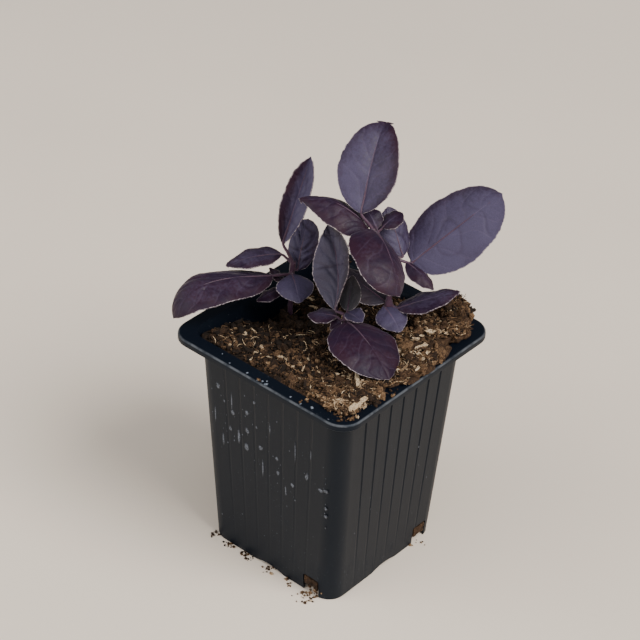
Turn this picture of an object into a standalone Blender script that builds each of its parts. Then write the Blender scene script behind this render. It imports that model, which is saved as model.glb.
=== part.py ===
"""Purple basil in a square nursery pot.

Metres, +Z up. The origin is the centre of the pot's base, and the pot's walls face along X and Y.
The compost fills the pot. Three seedlings stand in it, each one leafy stem.
"""

from math import ceil, cos, exp, pi, radians, sin, sqrt

import bmesh
import bpy
from mathutils import Matrix, Vector, noise

MM = 0.001
SEED = 7
CLEARANCE = 0.3 * MM

# Pot
POT_HEIGHT = 102 * MM
RIM_SIDE = 90 * MM
RIM_CORNER = 9 * MM
RIM_LIP = 3 * MM
RIM_BREAK = 0.5 * MM
WALL_TOP_SIDE = 75 * MM
WALL_TOP_CORNER = 7 * MM
BASE_SIDE = 65 * MM
BASE_CORNER = 7.5 * MM
WALL = 1.2 * MM
FLARE_FOOT = 93 * MM
OPENING_SIDE = 78 * MM
OPENING_CORNER = 7 * MM
FLOOR_RISE = 2 * MM
PAD_RADIUS = 8 * MM
PAD_SEGMENTS = 24
CORNER_STEPS = 5

GROOVES = 7
GROOVE_WIDTH = 0.9 * MM
GROOVE_DEPTH = 0.45 * MM
GROOVE_TOP = 92.5 * MM
GROOVE_FOOT = 10 * MM

SLOT_WIDTH = 8 * MM
SLOT_HEIGHT = 8.5 * MM
SLOT_CENTRE = 22 * MM
ARCH_WIDTH = 16 * MM
ARCH_RISE = 1.6 * MM
ARCH_SEGMENTS = 96
CUTTER_DEEP = 6 * MM
CUTTER_PAST = 1 * MM

# Compost, its height given at the pot's corners
COMPOST_FRONT = 103 * MM
COMPOST_RIGHT = 106 * MM
COMPOST_BACK = 92 * MM
COMPOST_LEFT = 99.5 * MM
HOLLOW_CENTRE = (-32 * MM, 4 * MM)
HOLLOW_DEPTH = 9 * MM
HOLLOW_REACH = 17 * MM
CRUMB = 1.1 * MM
CRUMB_SIZE = 7 * MM
COMPOST_RINGS = 9
COMPOST_SIDE_STEPS = 7
COMPOST_EDGE = 0.6 * MM
SHOULDER_DROP = 1 * MM
PLUG_WIDTH = SLOT_WIDTH - 1.2 * MM
PLUG_TOP = SLOT_HEIGHT - 0.6 * MM
PLUG_PROUD = 0.8 * MM
PLUG_DEEP = 5 * MM

# Heaps of compost spilled on the rim: centre x and y, reach along x and y, height over the rim, in mm
HEAPS = [
    (30.5, 34.5, 7.5, 7.5, 10.5),
    (27, 29, 11, 11, 5.5),
    (36, 31, 5.5, 6.5, 5),
    (39, 4, 5.6, 17, 2.4),
    (36, -24, 4.6, 11, 1.6),
    (33, -33, 6, 5, 1.2),
]
HEAP_SINK = 0.1
HEAP_ROUGH = 0.3

# The coarser chips of wood: centre x and y in mm, turn in degrees, length and width in mm
CHIPS = [
    (28, -18, 126, 12, 2.2), (39.5, -30.5, 84, 9, 2.4), (30, 6, 24, 7, 1.8), (35, 12, 26, 6, 1.8),
    (33, 22, 38, 6, 2.6), (26, 12, 90, 5, 1.6), (17, -33, 54, 4, 1.8), (6, -34, 173, 4, 1.8),
    (22, -35, 7, 4, 1.6), (6, -26, 156, 5, 1.6), (14, -29, 143, 6, 1.5), (20, -23, 109, 5, 1.5),
    (-2, -33, 15, 5, 1.6), (-12, -24, 70, 6, 1.6), (-24, -29, 160, 7, 1.8), (-8, -8, 30, 6, 1.5),
    (-6, 12, 120, 7, 1.7), (5, 29, 75, 6, 1.6), (-14, 30, 10, 7, 1.8), (24, 27, 100, 5, 1.6),
]
CHIP_THICK = 1.5 * MM
CHIP_SINK = 0.25 * MM

# Plants, laid out as seen from the pot's front corner: right, away and up in millimetres
FRONT_TURN = radians(39.7)
STEM_SIDES = 8
STEM_ROOT = 1.3 * MM
STEM_TIP = 0.8 * MM
STEM_STEP = 4 * MM
HOLE_SIDES = 12
PETIOLE_SIDES = 5
PETIOLE_ROOT = 0.75 * MM
PETIOLE_TIP = 0.5 * MM
PETIOLE_INTO_BLADE = 0.3
BLADE_THICK = 0.7 * MM
BLADE_WAVES = 2.5
CUP_STEPS = 4
MIDRIB_STEPS = 40
# The rows and columns of a blade's grid, by the least length in mm that they are used for
BLADE_GRIDS = ((28, 9, 6), (16, 7, 6), (0, 5, 4))
FULL_STALK_LENGTH = 30
SMALL_STALK = 0.6
STALK_UNDER = 0.6 * BLADE_THICK

POT_BLACK = (0.022, 0.024, 0.028)
COMPOST_BROWN = (0.075, 0.04, 0.022)
LEAF_PURPLE = (0.055, 0.03, 0.06)


def material(name, colour, roughness):
    made = bpy.data.materials.new(name)
    made.use_nodes = True
    shader = made.node_tree.nodes["Principled BSDF"]
    shader.inputs["Base Color"].default_value = (*colour, 1)
    shader.inputs["Roughness"].default_value = roughness
    shader.inputs["Metallic"].default_value = 0
    return made


def add_object(name, bm, finish=None):
    """The bmesh as a new object, its faces turned outwards."""
    bmesh.ops.recalc_face_normals(bm, faces=bm.faces[:])
    mesh = bpy.data.meshes.new(name)
    bm.to_mesh(mesh)
    bm.free()
    made = bpy.data.objects.new(name, mesh)
    bpy.context.scene.collection.objects.link(made)
    if finish:
        mesh.materials.append(finish)
    return made


def mix(a, b, share):
    return a + (b - a) * share


def rounded_square(side, corner, z, side_steps=1):
    """Points round a square with round corners, anticlockwise from the +X wall's far end."""
    middle = side / 2 - corner
    points = []
    for quarter in range(4):
        turned = Matrix.Rotation(quarter * pi / 2, 3, "Z")
        for step in range(1, side_steps):
            points.append(turned @ Vector((side / 2, middle * (2 * step / side_steps - 1), z)))
        for step in range(CORNER_STEPS + 1):
            turn = step / CORNER_STEPS * pi / 2
            round_corner = Vector((middle + corner * cos(turn), middle + corner * sin(turn), z))
            points.append(turned @ round_corner)
    return points


def loft(bm, outlines):
    """A closed solid skinned over outlines of equal count, its two ends filled."""
    rings = [[bm.verts.new(p) for p in points] for points in outlines]
    for lower, upper in zip(rings, rings[1:]):
        for i in range(len(lower)):
            bm.faces.new((lower[i - 1], lower[i], upper[i], upper[i - 1]))
    bm.faces.new(rings[0])
    bm.faces.new(rings[-1])


def tube(bm, path, radii, sides):
    """A closed round tube along the path."""
    outlines = []
    across = Vector((0, 1, 0)).cross(path[1] - path[0]).normalized()
    for i, point in enumerate(path):
        along = (path[min(i + 1, len(path) - 1)] - path[max(i - 1, 0)]).normalized()
        across = (across - along * across.dot(along)).normalized()
        up = along.cross(across)
        turns = [2 * pi * k / sides for k in range(sides)]
        outlines.append([point + radii[i] * (cos(t) * across + sin(t) * up) for t in turns])
    loft(bm, outlines)


def boolean(body, operation, others, solver="EXACT"):
    """The body joined with or cut by the other objects, applied, and the others removed."""
    group = bpy.data.collections.new(body.name + "_others")
    bpy.context.scene.collection.children.link(group)
    for other in others:
        bpy.context.scene.collection.objects.unlink(other)
        group.objects.link(other)
        other.hide_render = True
        other.display_type = "WIRE"
    modifier = body.modifiers.new(operation.title(), "BOOLEAN")
    modifier.operation = operation
    modifier.operand_type = "COLLECTION"
    modifier.collection = group
    modifier.solver = solver
    if solver == "EXACT":
        modifier.use_self = False
    bpy.context.view_layer.update()
    evaluated = body.evaluated_get(bpy.context.evaluated_depsgraph_get())
    mesh = bpy.data.meshes.new_from_object(evaluated)
    body.modifiers.remove(modifier)
    body.data = mesh
    for other in list(group.objects):
        bpy.data.objects.remove(other, do_unlink=True)
    bpy.data.collections.remove(group)


def wall_half(z):
    """Half the pot's outer width at a height."""
    return mix(BASE_SIDE, WALL_TOP_SIDE, z / (POT_HEIGHT - RIM_LIP)) / 2


def wall_outline(z, inset, side_steps=1):
    """The pot's wall at a height, moved in by inset."""
    share = z / (POT_HEIGHT - RIM_LIP)
    corner = mix(BASE_CORNER, WALL_TOP_CORNER, share)
    return rounded_square(2 * (wall_half(z) - inset), corner - inset, z, side_steps)


def inside_outline(z, gap=0, side_steps=1):
    """The pot's inner face at a height, moved in by gap: the wall, then its flare up to the rim."""
    flare = min(max((z - FLARE_FOOT) / (POT_HEIGHT - FLARE_FOOT), 0), 1)
    half = mix(wall_half(min(z, FLARE_FOOT)) - WALL, OPENING_SIDE / 2, flare) - gap
    corner = mix(BASE_CORNER - WALL, OPENING_CORNER, flare) - gap
    return rounded_square(2 * half, corner, z, side_steps)


def pot_body():
    """The moulded shell: skirt, wall, flare, rim and turned-down lip, then the inside down to the floor."""
    under_rim = POT_HEIGHT - WALL
    lip_inside = RIM_SIDE - 2 * WALL
    bm = bmesh.new()
    loft(bm, [
        wall_outline(FLOOR_RISE, WALL),
        wall_outline(0, WALL),
        wall_outline(0, 0),
        wall_outline(FLARE_FOOT, 0),
        rounded_square(OPENING_SIDE + 2 * WALL, OPENING_CORNER + WALL, under_rim),
        rounded_square(lip_inside, RIM_CORNER - WALL, under_rim),
        rounded_square(lip_inside, RIM_CORNER - WALL, POT_HEIGHT - RIM_LIP),
        rounded_square(RIM_SIDE, RIM_CORNER, POT_HEIGHT - RIM_LIP),
        rounded_square(RIM_SIDE, RIM_CORNER, POT_HEIGHT - RIM_BREAK),
        rounded_square(RIM_SIDE - 2 * RIM_BREAK, RIM_CORNER - RIM_BREAK, POT_HEIGHT),
        rounded_square(OPENING_SIDE + 2 * RIM_BREAK, OPENING_CORNER + RIM_BREAK, POT_HEIGHT),
        inside_outline(POT_HEIGHT - RIM_BREAK),
        inside_outline(FLARE_FOOT),
        inside_outline(FLOOR_RISE + WALL),
    ])
    return add_object("pot", bm, material("pot_plastic", POT_BLACK, 0.45))


def block(bm, size, place):
    bmesh.ops.create_cube(bm, size=1, matrix=place @ Matrix.Diagonal((*size, 1)))


def groove_cutters():
    """Thin wedges down all four walls. Their depth runs out towards the foot."""
    bm = bmesh.new()
    flat_top = WALL_TOP_SIDE - 2 * WALL_TOP_CORNER
    flat_foot = BASE_SIDE - 2 * BASE_CORNER
    for wall in range(4):
        turn = Matrix.Rotation(wall * pi / 2, 4, "Z")
        for i in range(GROOVES):
            share = (i + 1) / (GROOVES + 1) - 0.5
            made = bmesh.ops.create_cube(bm, size=1)["verts"]
            for vert in made:
                top = vert.co.z > 0
                z = GROOVE_TOP if top else GROOVE_FOOT
                middle = share * (flat_top if top else flat_foot)
                depth = GROOVE_DEPTH if top else 0
                reach = -depth if vert.co.y < 0 else CUTTER_PAST
                vert.co = (middle + vert.co.x * GROOVE_WIDTH, wall_half(z) + reach, z)
            bmesh.ops.transform(bm, matrix=turn, verts=made)
    return add_object("groove_cutters", bm)


def slot_cutters():
    """Four drainage slots, one near the right end of each wall, and an arch under each wall."""
    bm = bmesh.new()
    radius = (ARCH_WIDTH ** 2 / 4 + ARCH_RISE ** 2) / (2 * ARCH_RISE)
    for wall in range(4):
        turn = Matrix.Rotation(wall * pi / 2, 4, "Z")
        place = Matrix.Translation((-SLOT_CENTRE, BASE_SIDE / 2, (SLOT_HEIGHT - CUTTER_PAST) / 2))
        block(bm, (SLOT_WIDTH, CUTTER_DEEP, SLOT_HEIGHT + CUTTER_PAST), turn @ place)
        axis = Matrix.Translation((0, BASE_SIDE / 2, ARCH_RISE - radius)) @ Matrix.Rotation(pi / 2, 4, "X")
        bmesh.ops.create_cone(
            bm, cap_ends=True, segments=ARCH_SEGMENTS, radius1=radius, radius2=radius,
            depth=CUTTER_DEEP, matrix=turn @ axis,
        )
    return add_object("slot_cutters", bm)


def floor_pad():
    """The flat boss under the floor, which reaches the ground in the middle."""
    bm = bmesh.new()
    deep = FLOOR_RISE + WALL / 2
    bmesh.ops.create_cone(
        bm, cap_ends=True, segments=PAD_SEGMENTS, radius1=PAD_RADIUS, radius2=PAD_RADIUS, depth=deep,
        matrix=Matrix.Translation((0, 0, deep / 2)),
    )
    return add_object("floor_pad", bm)


def make_pot():
    pot = pot_body()
    boolean(pot, "UNION", [floor_pad()])
    boolean(pot, "DIFFERENCE", [slot_cutters()])
    boolean(pot, "DIFFERENCE", [groove_cutters()])
    pot.data.shade_smooth()
    pot.data.set_sharp_from_angle(angle=radians(30))


def compost_height(x, y):
    """The compost's surface: a slope between its four corners, a hollow at the left and crumbs."""
    right = min(max(x / OPENING_SIDE + 0.5, 0), 1)
    back = min(max(y / OPENING_SIDE + 0.5, 0), 1)
    front_edge = mix(COMPOST_LEFT, COMPOST_FRONT, right)
    back_edge = mix(COMPOST_BACK, COMPOST_RIGHT, right)
    away = (Vector((x, y)) - Vector(HOLLOW_CENTRE)).length / HOLLOW_REACH
    hollow = HOLLOW_DEPTH * exp(-away * away)
    crumbs = CRUMB * noise.noise(Vector((x, y, SEED)) / CRUMB_SIZE)
    return mix(front_edge, back_edge, back) - hollow + crumbs


def surface_height(x, y):
    """The compost's surface with its heaps."""
    found = compost_height(x, y)
    for middle_x, middle_y, reach_x, reach_y, height in HEAPS:
        inside = 1 - ((x / MM - middle_x) / reach_x) ** 2 - ((y / MM - middle_y) / reach_y) ** 2
        if inside > 0:
            found = max(found, POT_HEIGHT + CLEARANCE + height * sqrt(inside) * MM)
    return found


def compost_body():
    """The fill: the pot's inside less a clearance, with an uneven top."""
    floor = inside_outline(FLOOR_RISE + WALL + CLEARANCE, CLEARANCE, COMPOST_SIDE_STEPS)
    brim = inside_outline(POT_HEIGHT, CLEARANCE, COMPOST_SIDE_STEPS)
    shoulder, edge = [], []
    for i, point in enumerate(brim):
        edge_z = compost_height(point.x, point.y) - COMPOST_EDGE
        shoulder_z = min(FLARE_FOOT, edge_z - SHOULDER_DROP)
        shoulder.append(inside_outline(shoulder_z, CLEARANCE, COMPOST_SIDE_STEPS)[i])
        edge.append(inside_outline(min(edge_z, POT_HEIGHT), CLEARANCE, COMPOST_SIDE_STEPS)[i])
        edge[-1].z = edge_z
    outlines = [floor, shoulder, edge]
    for ring in range(1, COMPOST_RINGS):
        share = 1 - ring / COMPOST_RINGS
        flat = [point.xy * share for point in brim]
        outlines.append([Vector((x, y, compost_height(x, y))) for x, y in flat])
    bm = bmesh.new()
    loft(bm, outlines)
    return add_object("compost", bm, material("compost_fibre", COMPOST_BROWN, 0.95))


def heaps():
    """Compost spilled over the opening. The heaps' undersides lie just off the rim."""
    made = []
    for i, (x, y, reach_x, reach_y, height) in enumerate(HEAPS):
        base = Vector((x * MM, y * MM, POT_HEIGHT + CLEARANCE))
        middle = base - Vector((0, 0, HEAP_SINK * height * MM))
        size = Matrix.Diagonal((reach_x * MM, reach_y * MM, height * (1 + HEAP_SINK) * MM, 1))
        bm = bmesh.new()
        bmesh.ops.create_icosphere(bm, subdivisions=2, radius=1, matrix=Matrix.Translation(middle) @ size)
        for vert in bm.verts:
            vert.co += (vert.co - middle) * HEAP_ROUGH * noise.noise(vert.co / CRUMB_SIZE)
        cut = bmesh.ops.bisect_plane(
            bm, geom=bm.verts[:] + bm.edges[:] + bm.faces[:], plane_co=base, plane_no=(0, 0, 1),
            clear_inner=True,
        )
        rim = [edge for edge in cut["geom_cut"] if isinstance(edge, bmesh.types.BMEdge)]
        bmesh.ops.contextual_create(bm, geom=rim)
        made.append(add_object(f"heap_{i}", bm))
    return made


def slot_plugs():
    """Compost that bulges into the drainage slots."""
    made = []
    for wall in range(4):
        turn = Matrix.Rotation(wall * pi / 2, 4, "Z")
        inner = BASE_SIDE / 2 - PLUG_DEEP
        outer = BASE_SIDE / 2 + PLUG_PROUD
        low = FLOOR_RISE + WALL + 2 * CLEARANCE
        centre = Vector((-SLOT_CENTRE, (inner + outer) / 2, (low + PLUG_TOP) / 2))
        bm = bmesh.new()
        block(bm, (PLUG_WIDTH, outer - inner, PLUG_TOP - low), turn @ Matrix.Translation(centre))
        made.append(add_object(f"plug_{wall}", bm))
    return made


def chips():
    """Coarse pale chips of wood lying half sunk in the surface."""
    made = []
    for i, (x, y, turn, length, width) in enumerate(CHIPS):
        z = surface_height(x * MM, y * MM) - CHIP_SINK
        place = Matrix.Translation((x * MM, y * MM, z)) @ Matrix.Rotation(radians(turn), 4, "Z")
        bm = bmesh.new()
        block(bm, (length * MM, width * MM, CHIP_THICK), place)
        made.append(add_object(f"chip_{i}", bm))
    return made


def stem_holes(stems):
    made = []
    for stem in stems:
        foot, above = stem[0], stem[-1]
        hole = STEM_ROOT + CLEARANCE
        bm = bmesh.new()
        low = foot - Vector((0, 0, CLEARANCE))
        high = Vector((foot.x, foot.y, above.z))
        tube(bm, [low, high], [hole, hole], HOLE_SIDES)
        made.append(add_object("hole", bm))
    return made


def make_compost(stems):
    compost = compost_body()
    boolean(compost, "UNION", slot_plugs() + heaps())
    boolean(compost, "UNION", chips())
    boolean(compost, "DIFFERENCE", stem_holes(stems))


def at_front(right, away, up):
    """A point from its distances in millimetres, as seen from the pot's front corner."""
    return Matrix.Rotation(FRONT_TURN, 3, "Z") @ Vector((right, away, up)) * MM


def heading_vector(heading, rise):
    turn, up = radians(heading) + FRONT_TURN, radians(rise)
    return Vector((cos(up) * cos(turn), cos(up) * sin(turn), sin(up)))


def leaf(node, heading, rise, length, width, **more):
    """One leaf. node is the height on the stem that it grows from.

    Headings are degrees: 0 right, 90 away, 180 left, 270 to the front. rise is the angle up.
    arch and yaw are how far the midrib has turned by its tip, and bend says how late it turns.
    fold raises both halves from the midrib, cup turns their margins further, roll tips the whole
    blade. belly is where along the blade it is widest, and foot how slowly it widens.
    """
    made = {
        "node": node, "heading": heading, "rise": rise, "length": length, "width": width,
        "arch": 0, "bend": 1, "yaw": 0, "roll": 0, "fold": 0, "cup": -30, "wave": 0.35,
        "belly": 0.45, "foot": 0.6,
        "stalk": 2, "stalk_heading": heading, "stalk_rise": 30,
    }
    made.update(more)
    return made


TALL_STEM = [(21, 5, 92), (21.2, 5, 112), (20.5, 5, 132), (14, 5, 145)]
TALL_LEAVES = [
    leaf(144.5, 78, 51, 39, 24.5, arch=-60, bend=4, yaw=-9, roll=-4, fold=25, cup=-20, belly=0.5, foot=0.65,
         stalk=9.5, stalk_heading=165, stalk_rise=52),
    leaf(144.7, 291, 26, 37, 30, arch=-90, roll=-30, fold=-10, cup=-35, belly=0.52, foot=0.5,
         stalk=2, stalk_heading=170, stalk_rise=50),
    leaf(144.2, 165, 58, 33, 21, arch=-84, fold=-10, cup=-40, belly=0.4, foot=0.5, stalk=2, stalk_rise=10),
    leaf(144.1, 125, 40, 10, 9, arch=-20, fold=20, cup=-20, stalk=2, stalk_heading=60, stalk_rise=50),
    leaf(143.8, 20, 25, 10, 10, arch=-30, cup=-20, belly=0.55, stalk=3.5, stalk_heading=20, stalk_rise=50),
    leaf(133, 21, 37, 42, 28, arch=-3, roll=30, fold=-8, cup=0, belly=0.46, foot=0.42,
         stalk=10, stalk_heading=0, stalk_rise=-8),
    leaf(133.4, 122, 52, 20, 15, fold=-5, belly=0.5, stalk=5.5, stalk_heading=5, stalk_rise=5),
    leaf(132.6, 318, -5, 16, 9.5, arch=-35, fold=-10, stalk=6.5, stalk_heading=0, stalk_rise=-4),
    leaf(112, 5, 22, 25.5, 14, arch=-8, fold=5, stalk=3.5, stalk_heading=330, stalk_rise=-10),
    leaf(112.5, 147, 19, 24, 17, arch=-5, fold=5, stalk=1, stalk_rise=0),
    leaf(111.5, 300, 0, 14, 13, arch=-35, roll=10, fold=5, stalk=2, stalk_heading=200, stalk_rise=0),
]

LEFT_STEM = [(-17, 19, 84), (-17, 20, 100), (-17, 21.7, 112), (-16.5, 21.7, 118)]
LEFT_LEAVES = [
    leaf(112, 208, 13, 50, 23.5, arch=-112, bend=3, fold=-3, belly=0.5, foot=0.55,
         stalk=8, stalk_heading=200, stalk_rise=10),
    leaf(117.6, 58, 60, 35.5, 11, roll=20, fold=35, cup=0, belly=0.64, foot=0.8,
         stalk=9.5, stalk_heading=165, stalk_rise=62),
    leaf(116, 74, 64, 21, 11, arch=-20, cup=-40, belly=0.55, foot=0.45, stalk=2.5, stalk_heading=345,
         stalk_rise=-40),
    leaf(117, 187, 4, 23, 14, arch=-34, fold=10, stalk=6, stalk_heading=165, stalk_rise=40),
    leaf(114, 285, 5, 15, 16, arch=-50, stalk=2, stalk_heading=270, stalk_rise=0),
    leaf(109, 205, -10, 11, 8, arch=-20, stalk=6, stalk_heading=230, stalk_rise=0),
    leaf(109.6, 150, 40, 8, 6, arch=-20, stalk=3, stalk_heading=200, stalk_rise=0),
]

FRONT_STEM = [(5, -9.3, 92), (5, -9, 108), (4.9, -7.8, 115)]
FRONT_LEAVES = [
    leaf(114, 304, 7, 32, 30, arch=-47, roll=-8, belly=0.42, foot=0.42, stalk=2, stalk_heading=280,
         stalk_rise=0),
    leaf(114.6, 72, 60, 33, 19, yaw=70, roll=-44, fold=35, cup=0, belly=0.48, stalk=5, stalk_heading=165,
         stalk_rise=20),
    leaf(114.3, 105, 50, 16, 10, roll=12, fold=8, stalk=2, stalk_rise=45),
    leaf(114.8, 325, 5, 8, 9, arch=-30, fold=10, cup=0, stalk=1.5, stalk_heading=90, stalk_rise=30),
    leaf(114, 205, -25, 6, 5, arch=-20, fold=20, cup=0, stalk=2, stalk_rise=-30),
    leaf(111, 165, 5, 12, 11, arch=-30, cup=-20, stalk=5, stalk_rise=40),
]


def smooth_path(points, step):
    """Points every step along a smooth curve through the given ones."""
    path = []
    ends = [2 * points[0] - points[1], *points, 2 * points[-1] - points[-2]]
    for before, start, end, after in zip(ends, ends[1:], ends[2:], ends[3:]):
        count = max(ceil((end - start).length / step), 1)
        for i in range(count):
            t = i / count
            path.append(
                start + (end - before) * (t / 2)
                + (2 * before - 5 * start + 4 * end - after) * (t * t / 2)
                + (3 * start - before - 3 * end + after) * (t ** 3 / 2)
            )
    return path + [points[-1]]


def stem_path(points):
    return smooth_path([at_front(*p) for p in points], STEM_STEP)


def point_at_height(path, z):
    for low, high in zip(path, path[1:]):
        if z <= high.z:
            return low.lerp(high, max(0, (z - low.z) / (high.z - low.z)))
    return path[-1]


def midrib(shape, base):
    """Places along the midrib, each with its forward, side and upward directions."""
    length = shape["length"] * MM
    place = base.copy()
    frames = []
    for i in range(MIDRIB_STEPS + 1):
        share = i / MIDRIB_STEPS
        rise = shape["rise"] + shape["arch"] * share ** shape["bend"]
        forward = heading_vector(shape["heading"] + shape["yaw"] * share, rise)
        level = Vector((0, 0, 1)).cross(forward).normalized()
        tip_over = Matrix.Rotation(radians(shape["roll"]), 3, forward)
        side = tip_over @ level
        frames.append((place.copy(), forward, side, forward.cross(side)))
        place += forward * (length / MIDRIB_STEPS)
    return frames


def half_width(shape, share):
    """Half the blade's width at a share of its length."""
    rise, belly = shape["foot"], shape["belly"]
    fall = rise * (1 - belly) / belly
    most = belly ** rise * (1 - belly) ** fall
    return shape["width"] / 2 * MM * max(share, 0) ** rise * max(1 - share, 0) ** fall / most


def blade_point(shape, frames, along, across):
    """A point of the blade's upper face. along runs 0 to 1 and across -1 to 1."""
    place, _, side, up = frames[round(along * MIDRIB_STEPS)]
    reach = half_width(shape, along)
    turn, cup = radians(shape["fold"]), radians(shape["cup"])
    out = abs(across)
    flat = lift = 0
    for k in range(CUP_STEPS):
        slope = turn + cup * out * (k + 0.5) / CUP_STEPS
        flat += cos(slope) * out / CUP_STEPS
        lift += sin(slope) * out / CUP_STEPS
    swell = 4 * along * (1 - along) * out * out
    ruffle = shape["wave"] * MM * swell * sin(2 * pi * BLADE_WAVES * along + 1.5 * across)
    return place + side * (reach * flat * (1 if across > 0 else -1)) + up * (reach * lift + ruffle)


def make_blade(shape, frames, name):
    """One leaf blade: a grid shaped to the leaf, split in triangles and thickened."""
    rows, columns = next(grid[1:] for grid in BLADE_GRIDS if shape["length"] > grid[0])
    bm = bmesh.new()
    outwards = bm.verts.layers.float_vector.new("outwards")
    bmesh.ops.create_grid(bm, x_segments=rows, y_segments=columns, size=0.5)
    for vert in bm.verts:
        along = 0.5 + 0.5 * sin(pi * vert.co.x)
        vert.co = blade_point(shape, frames, along, 2 * vert.co.y)
    bmesh.ops.remove_doubles(bm, verts=bm.verts[:], dist=0.01 * MM)
    bmesh.ops.triangulate(bm, faces=bm.faces[:])
    bm.normal_update()
    for vert in bm.verts:
        vert[outwards] = vert.normal
    made = bmesh.ops.extrude_face_region(bm, geom=bm.faces[:], use_keep_orig=True)["geom"]
    for vert in [item for item in made if isinstance(item, bmesh.types.BMVert)]:
        vert.co -= Vector(vert[outwards]) * BLADE_THICK
    return add_object(name, bm)


def make_petiole(shape, frames, foot, name):
    """The leaf's stalk, from inside the stem to a third of the way under the midrib."""
    reach = round(PETIOLE_INTO_BLADE * MIDRIB_STEPS)
    path = [foot, foot.lerp(frames[0][0], 0.5)]
    for i in (0, reach // 2, reach):
        place, _, _, up = frames[i]
        path.append(place - up * STALK_UNDER)
    size = mix(SMALL_STALK, 1, min(1, shape["length"] / FULL_STALK_LENGTH))
    radii = [size * mix(PETIOLE_ROOT, PETIOLE_TIP, i / (len(path) - 1)) for i in range(len(path))]
    bm = bmesh.new()
    tube(bm, path, radii, PETIOLE_SIDES)
    return add_object(name, bm)


def make_plant(name, path, leaves, finish):
    """A leafy stem in one piece."""
    bm = bmesh.new()
    radii = [mix(STEM_ROOT, STEM_TIP, i / (len(path) - 1)) for i in range(len(path))]
    tube(bm, path, radii, STEM_SIDES)
    plant = add_object(name, bm, finish)
    others = []
    for i, shape in enumerate(leaves):
        foot = point_at_height(path, shape["node"] * MM)
        stalk = heading_vector(shape["stalk_heading"], shape["stalk_rise"]) * (shape["stalk"] * MM)
        frames = midrib(shape, foot + stalk)
        others.append(make_petiole(shape, frames, foot, f"{name}_petiole_{i}"))
        others.append(make_blade(shape, frames, f"{name}_blade_{i}"))
    boolean(plant, "UNION", others, "MANIFOLD")
    plant.data.shade_smooth()
    plant.data.set_sharp_from_angle(angle=radians(50))


def main():
    for old in list(bpy.data.objects):
        bpy.data.objects.remove(old, do_unlink=True)
    leaf_finish = material("basil_leaf", LEAF_PURPLE, 0.5)
    plants = {
        "basil_tall": (stem_path(TALL_STEM), TALL_LEAVES),
        "basil_left": (stem_path(LEFT_STEM), LEFT_LEAVES),
        "basil_front": (stem_path(FRONT_STEM), FRONT_LEAVES),
    }
    make_pot()
    make_compost([path for path, _ in plants.values()])
    for name, (path, leaves) in plants.items():
        make_plant(name, path, leaves, leaf_finish)


main()
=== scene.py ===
"""Purple basil in a square nursery pot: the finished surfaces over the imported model.

Metres, +Z up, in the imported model's own frame. The pot's walls face along X and Y. The camera looks
at the corner where +X meets -Y, and the plants are laid out as seen from there.
"""

import random
from math import atan2, ceil, cos, exp, pi, radians, sin, sqrt

import bmesh
import bpy
import numpy as np
from bpy.props import FloatProperty, FloatVectorProperty, IntProperty, PointerProperty
from bpy.types import Operator, Panel, PropertyGroup
from mathutils import Euler, Matrix, Vector, noise


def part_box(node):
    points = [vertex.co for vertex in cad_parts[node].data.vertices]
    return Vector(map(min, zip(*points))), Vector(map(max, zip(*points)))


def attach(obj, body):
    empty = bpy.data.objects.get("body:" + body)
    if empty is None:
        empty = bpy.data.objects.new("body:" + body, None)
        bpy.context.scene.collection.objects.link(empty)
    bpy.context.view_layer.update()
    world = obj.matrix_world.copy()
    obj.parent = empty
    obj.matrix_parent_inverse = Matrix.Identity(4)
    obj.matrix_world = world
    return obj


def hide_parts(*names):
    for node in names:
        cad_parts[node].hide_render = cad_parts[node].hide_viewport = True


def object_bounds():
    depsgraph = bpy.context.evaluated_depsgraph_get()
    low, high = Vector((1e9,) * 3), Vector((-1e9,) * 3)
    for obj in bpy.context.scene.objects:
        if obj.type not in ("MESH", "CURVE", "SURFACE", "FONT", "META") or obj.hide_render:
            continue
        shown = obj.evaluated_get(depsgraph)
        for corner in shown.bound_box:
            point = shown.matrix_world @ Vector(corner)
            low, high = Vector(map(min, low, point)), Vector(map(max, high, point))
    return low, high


bl_info = {
    "name": "Potted purple basil",
    "version": (1, 0, 0),
    "blender": (4, 5, 0),
    "location": "3D View > Sidebar > Basil",
    "description": "A square nursery pot of compost with three seedlings of purple basil",
    "category": "Object",
}

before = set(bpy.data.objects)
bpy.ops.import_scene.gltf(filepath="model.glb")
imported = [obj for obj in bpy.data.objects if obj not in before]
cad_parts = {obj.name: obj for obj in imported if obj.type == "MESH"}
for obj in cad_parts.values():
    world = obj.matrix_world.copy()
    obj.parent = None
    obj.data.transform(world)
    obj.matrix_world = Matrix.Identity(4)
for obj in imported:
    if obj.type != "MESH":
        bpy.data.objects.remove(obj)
cad_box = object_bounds()
cad_low, cad_high = [np.array(corner) for corner in cad_box]
pot_low, pot_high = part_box("pot")

MM = 0.001
SEED = 7
CLEARANCE = 0.3 * MM
CLOUD_ROUGHNESS = 0.55

# Pot
POT_HEIGHT = pot_high.z
RIM_SIDE = pot_high.x - pot_low.x
RIM_CORNER = 9 * MM
RIM_LIP = 3 * MM
RIM_OUTER_ROUND = 1.1 * MM
RIM_INNER_ROUND = 0.9 * MM
EDGE_ROUND = 0.3 * MM
ROUND_STEPS = 4
WALL_TOP_SIDE = 75 * MM
WALL_TOP_CORNER = 7 * MM
BASE_SIDE = 65 * MM
BASE_CORNER = 7.5 * MM
WALL = 1.2 * MM
WALL_HEIGHTS = (30 * MM, 55 * MM)
FLARE_FOOT = 93 * MM
FLARE_MIDDLE = 97.5 * MM
FLARE_PART = 0.35
OPENING_SIDE = 78 * MM
OPENING_CORNER = 7 * MM
FLOOR_RISE = 2 * MM
PAD_RADIUS = 8 * MM
PAD_SIDES = 64
CORNER_STEPS = 10
GROOVES = 7
GROOVE_STEPS = 24
GROOVE_FAINT = 0.3
GROOVE_TOP = 92.5 * MM
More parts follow.
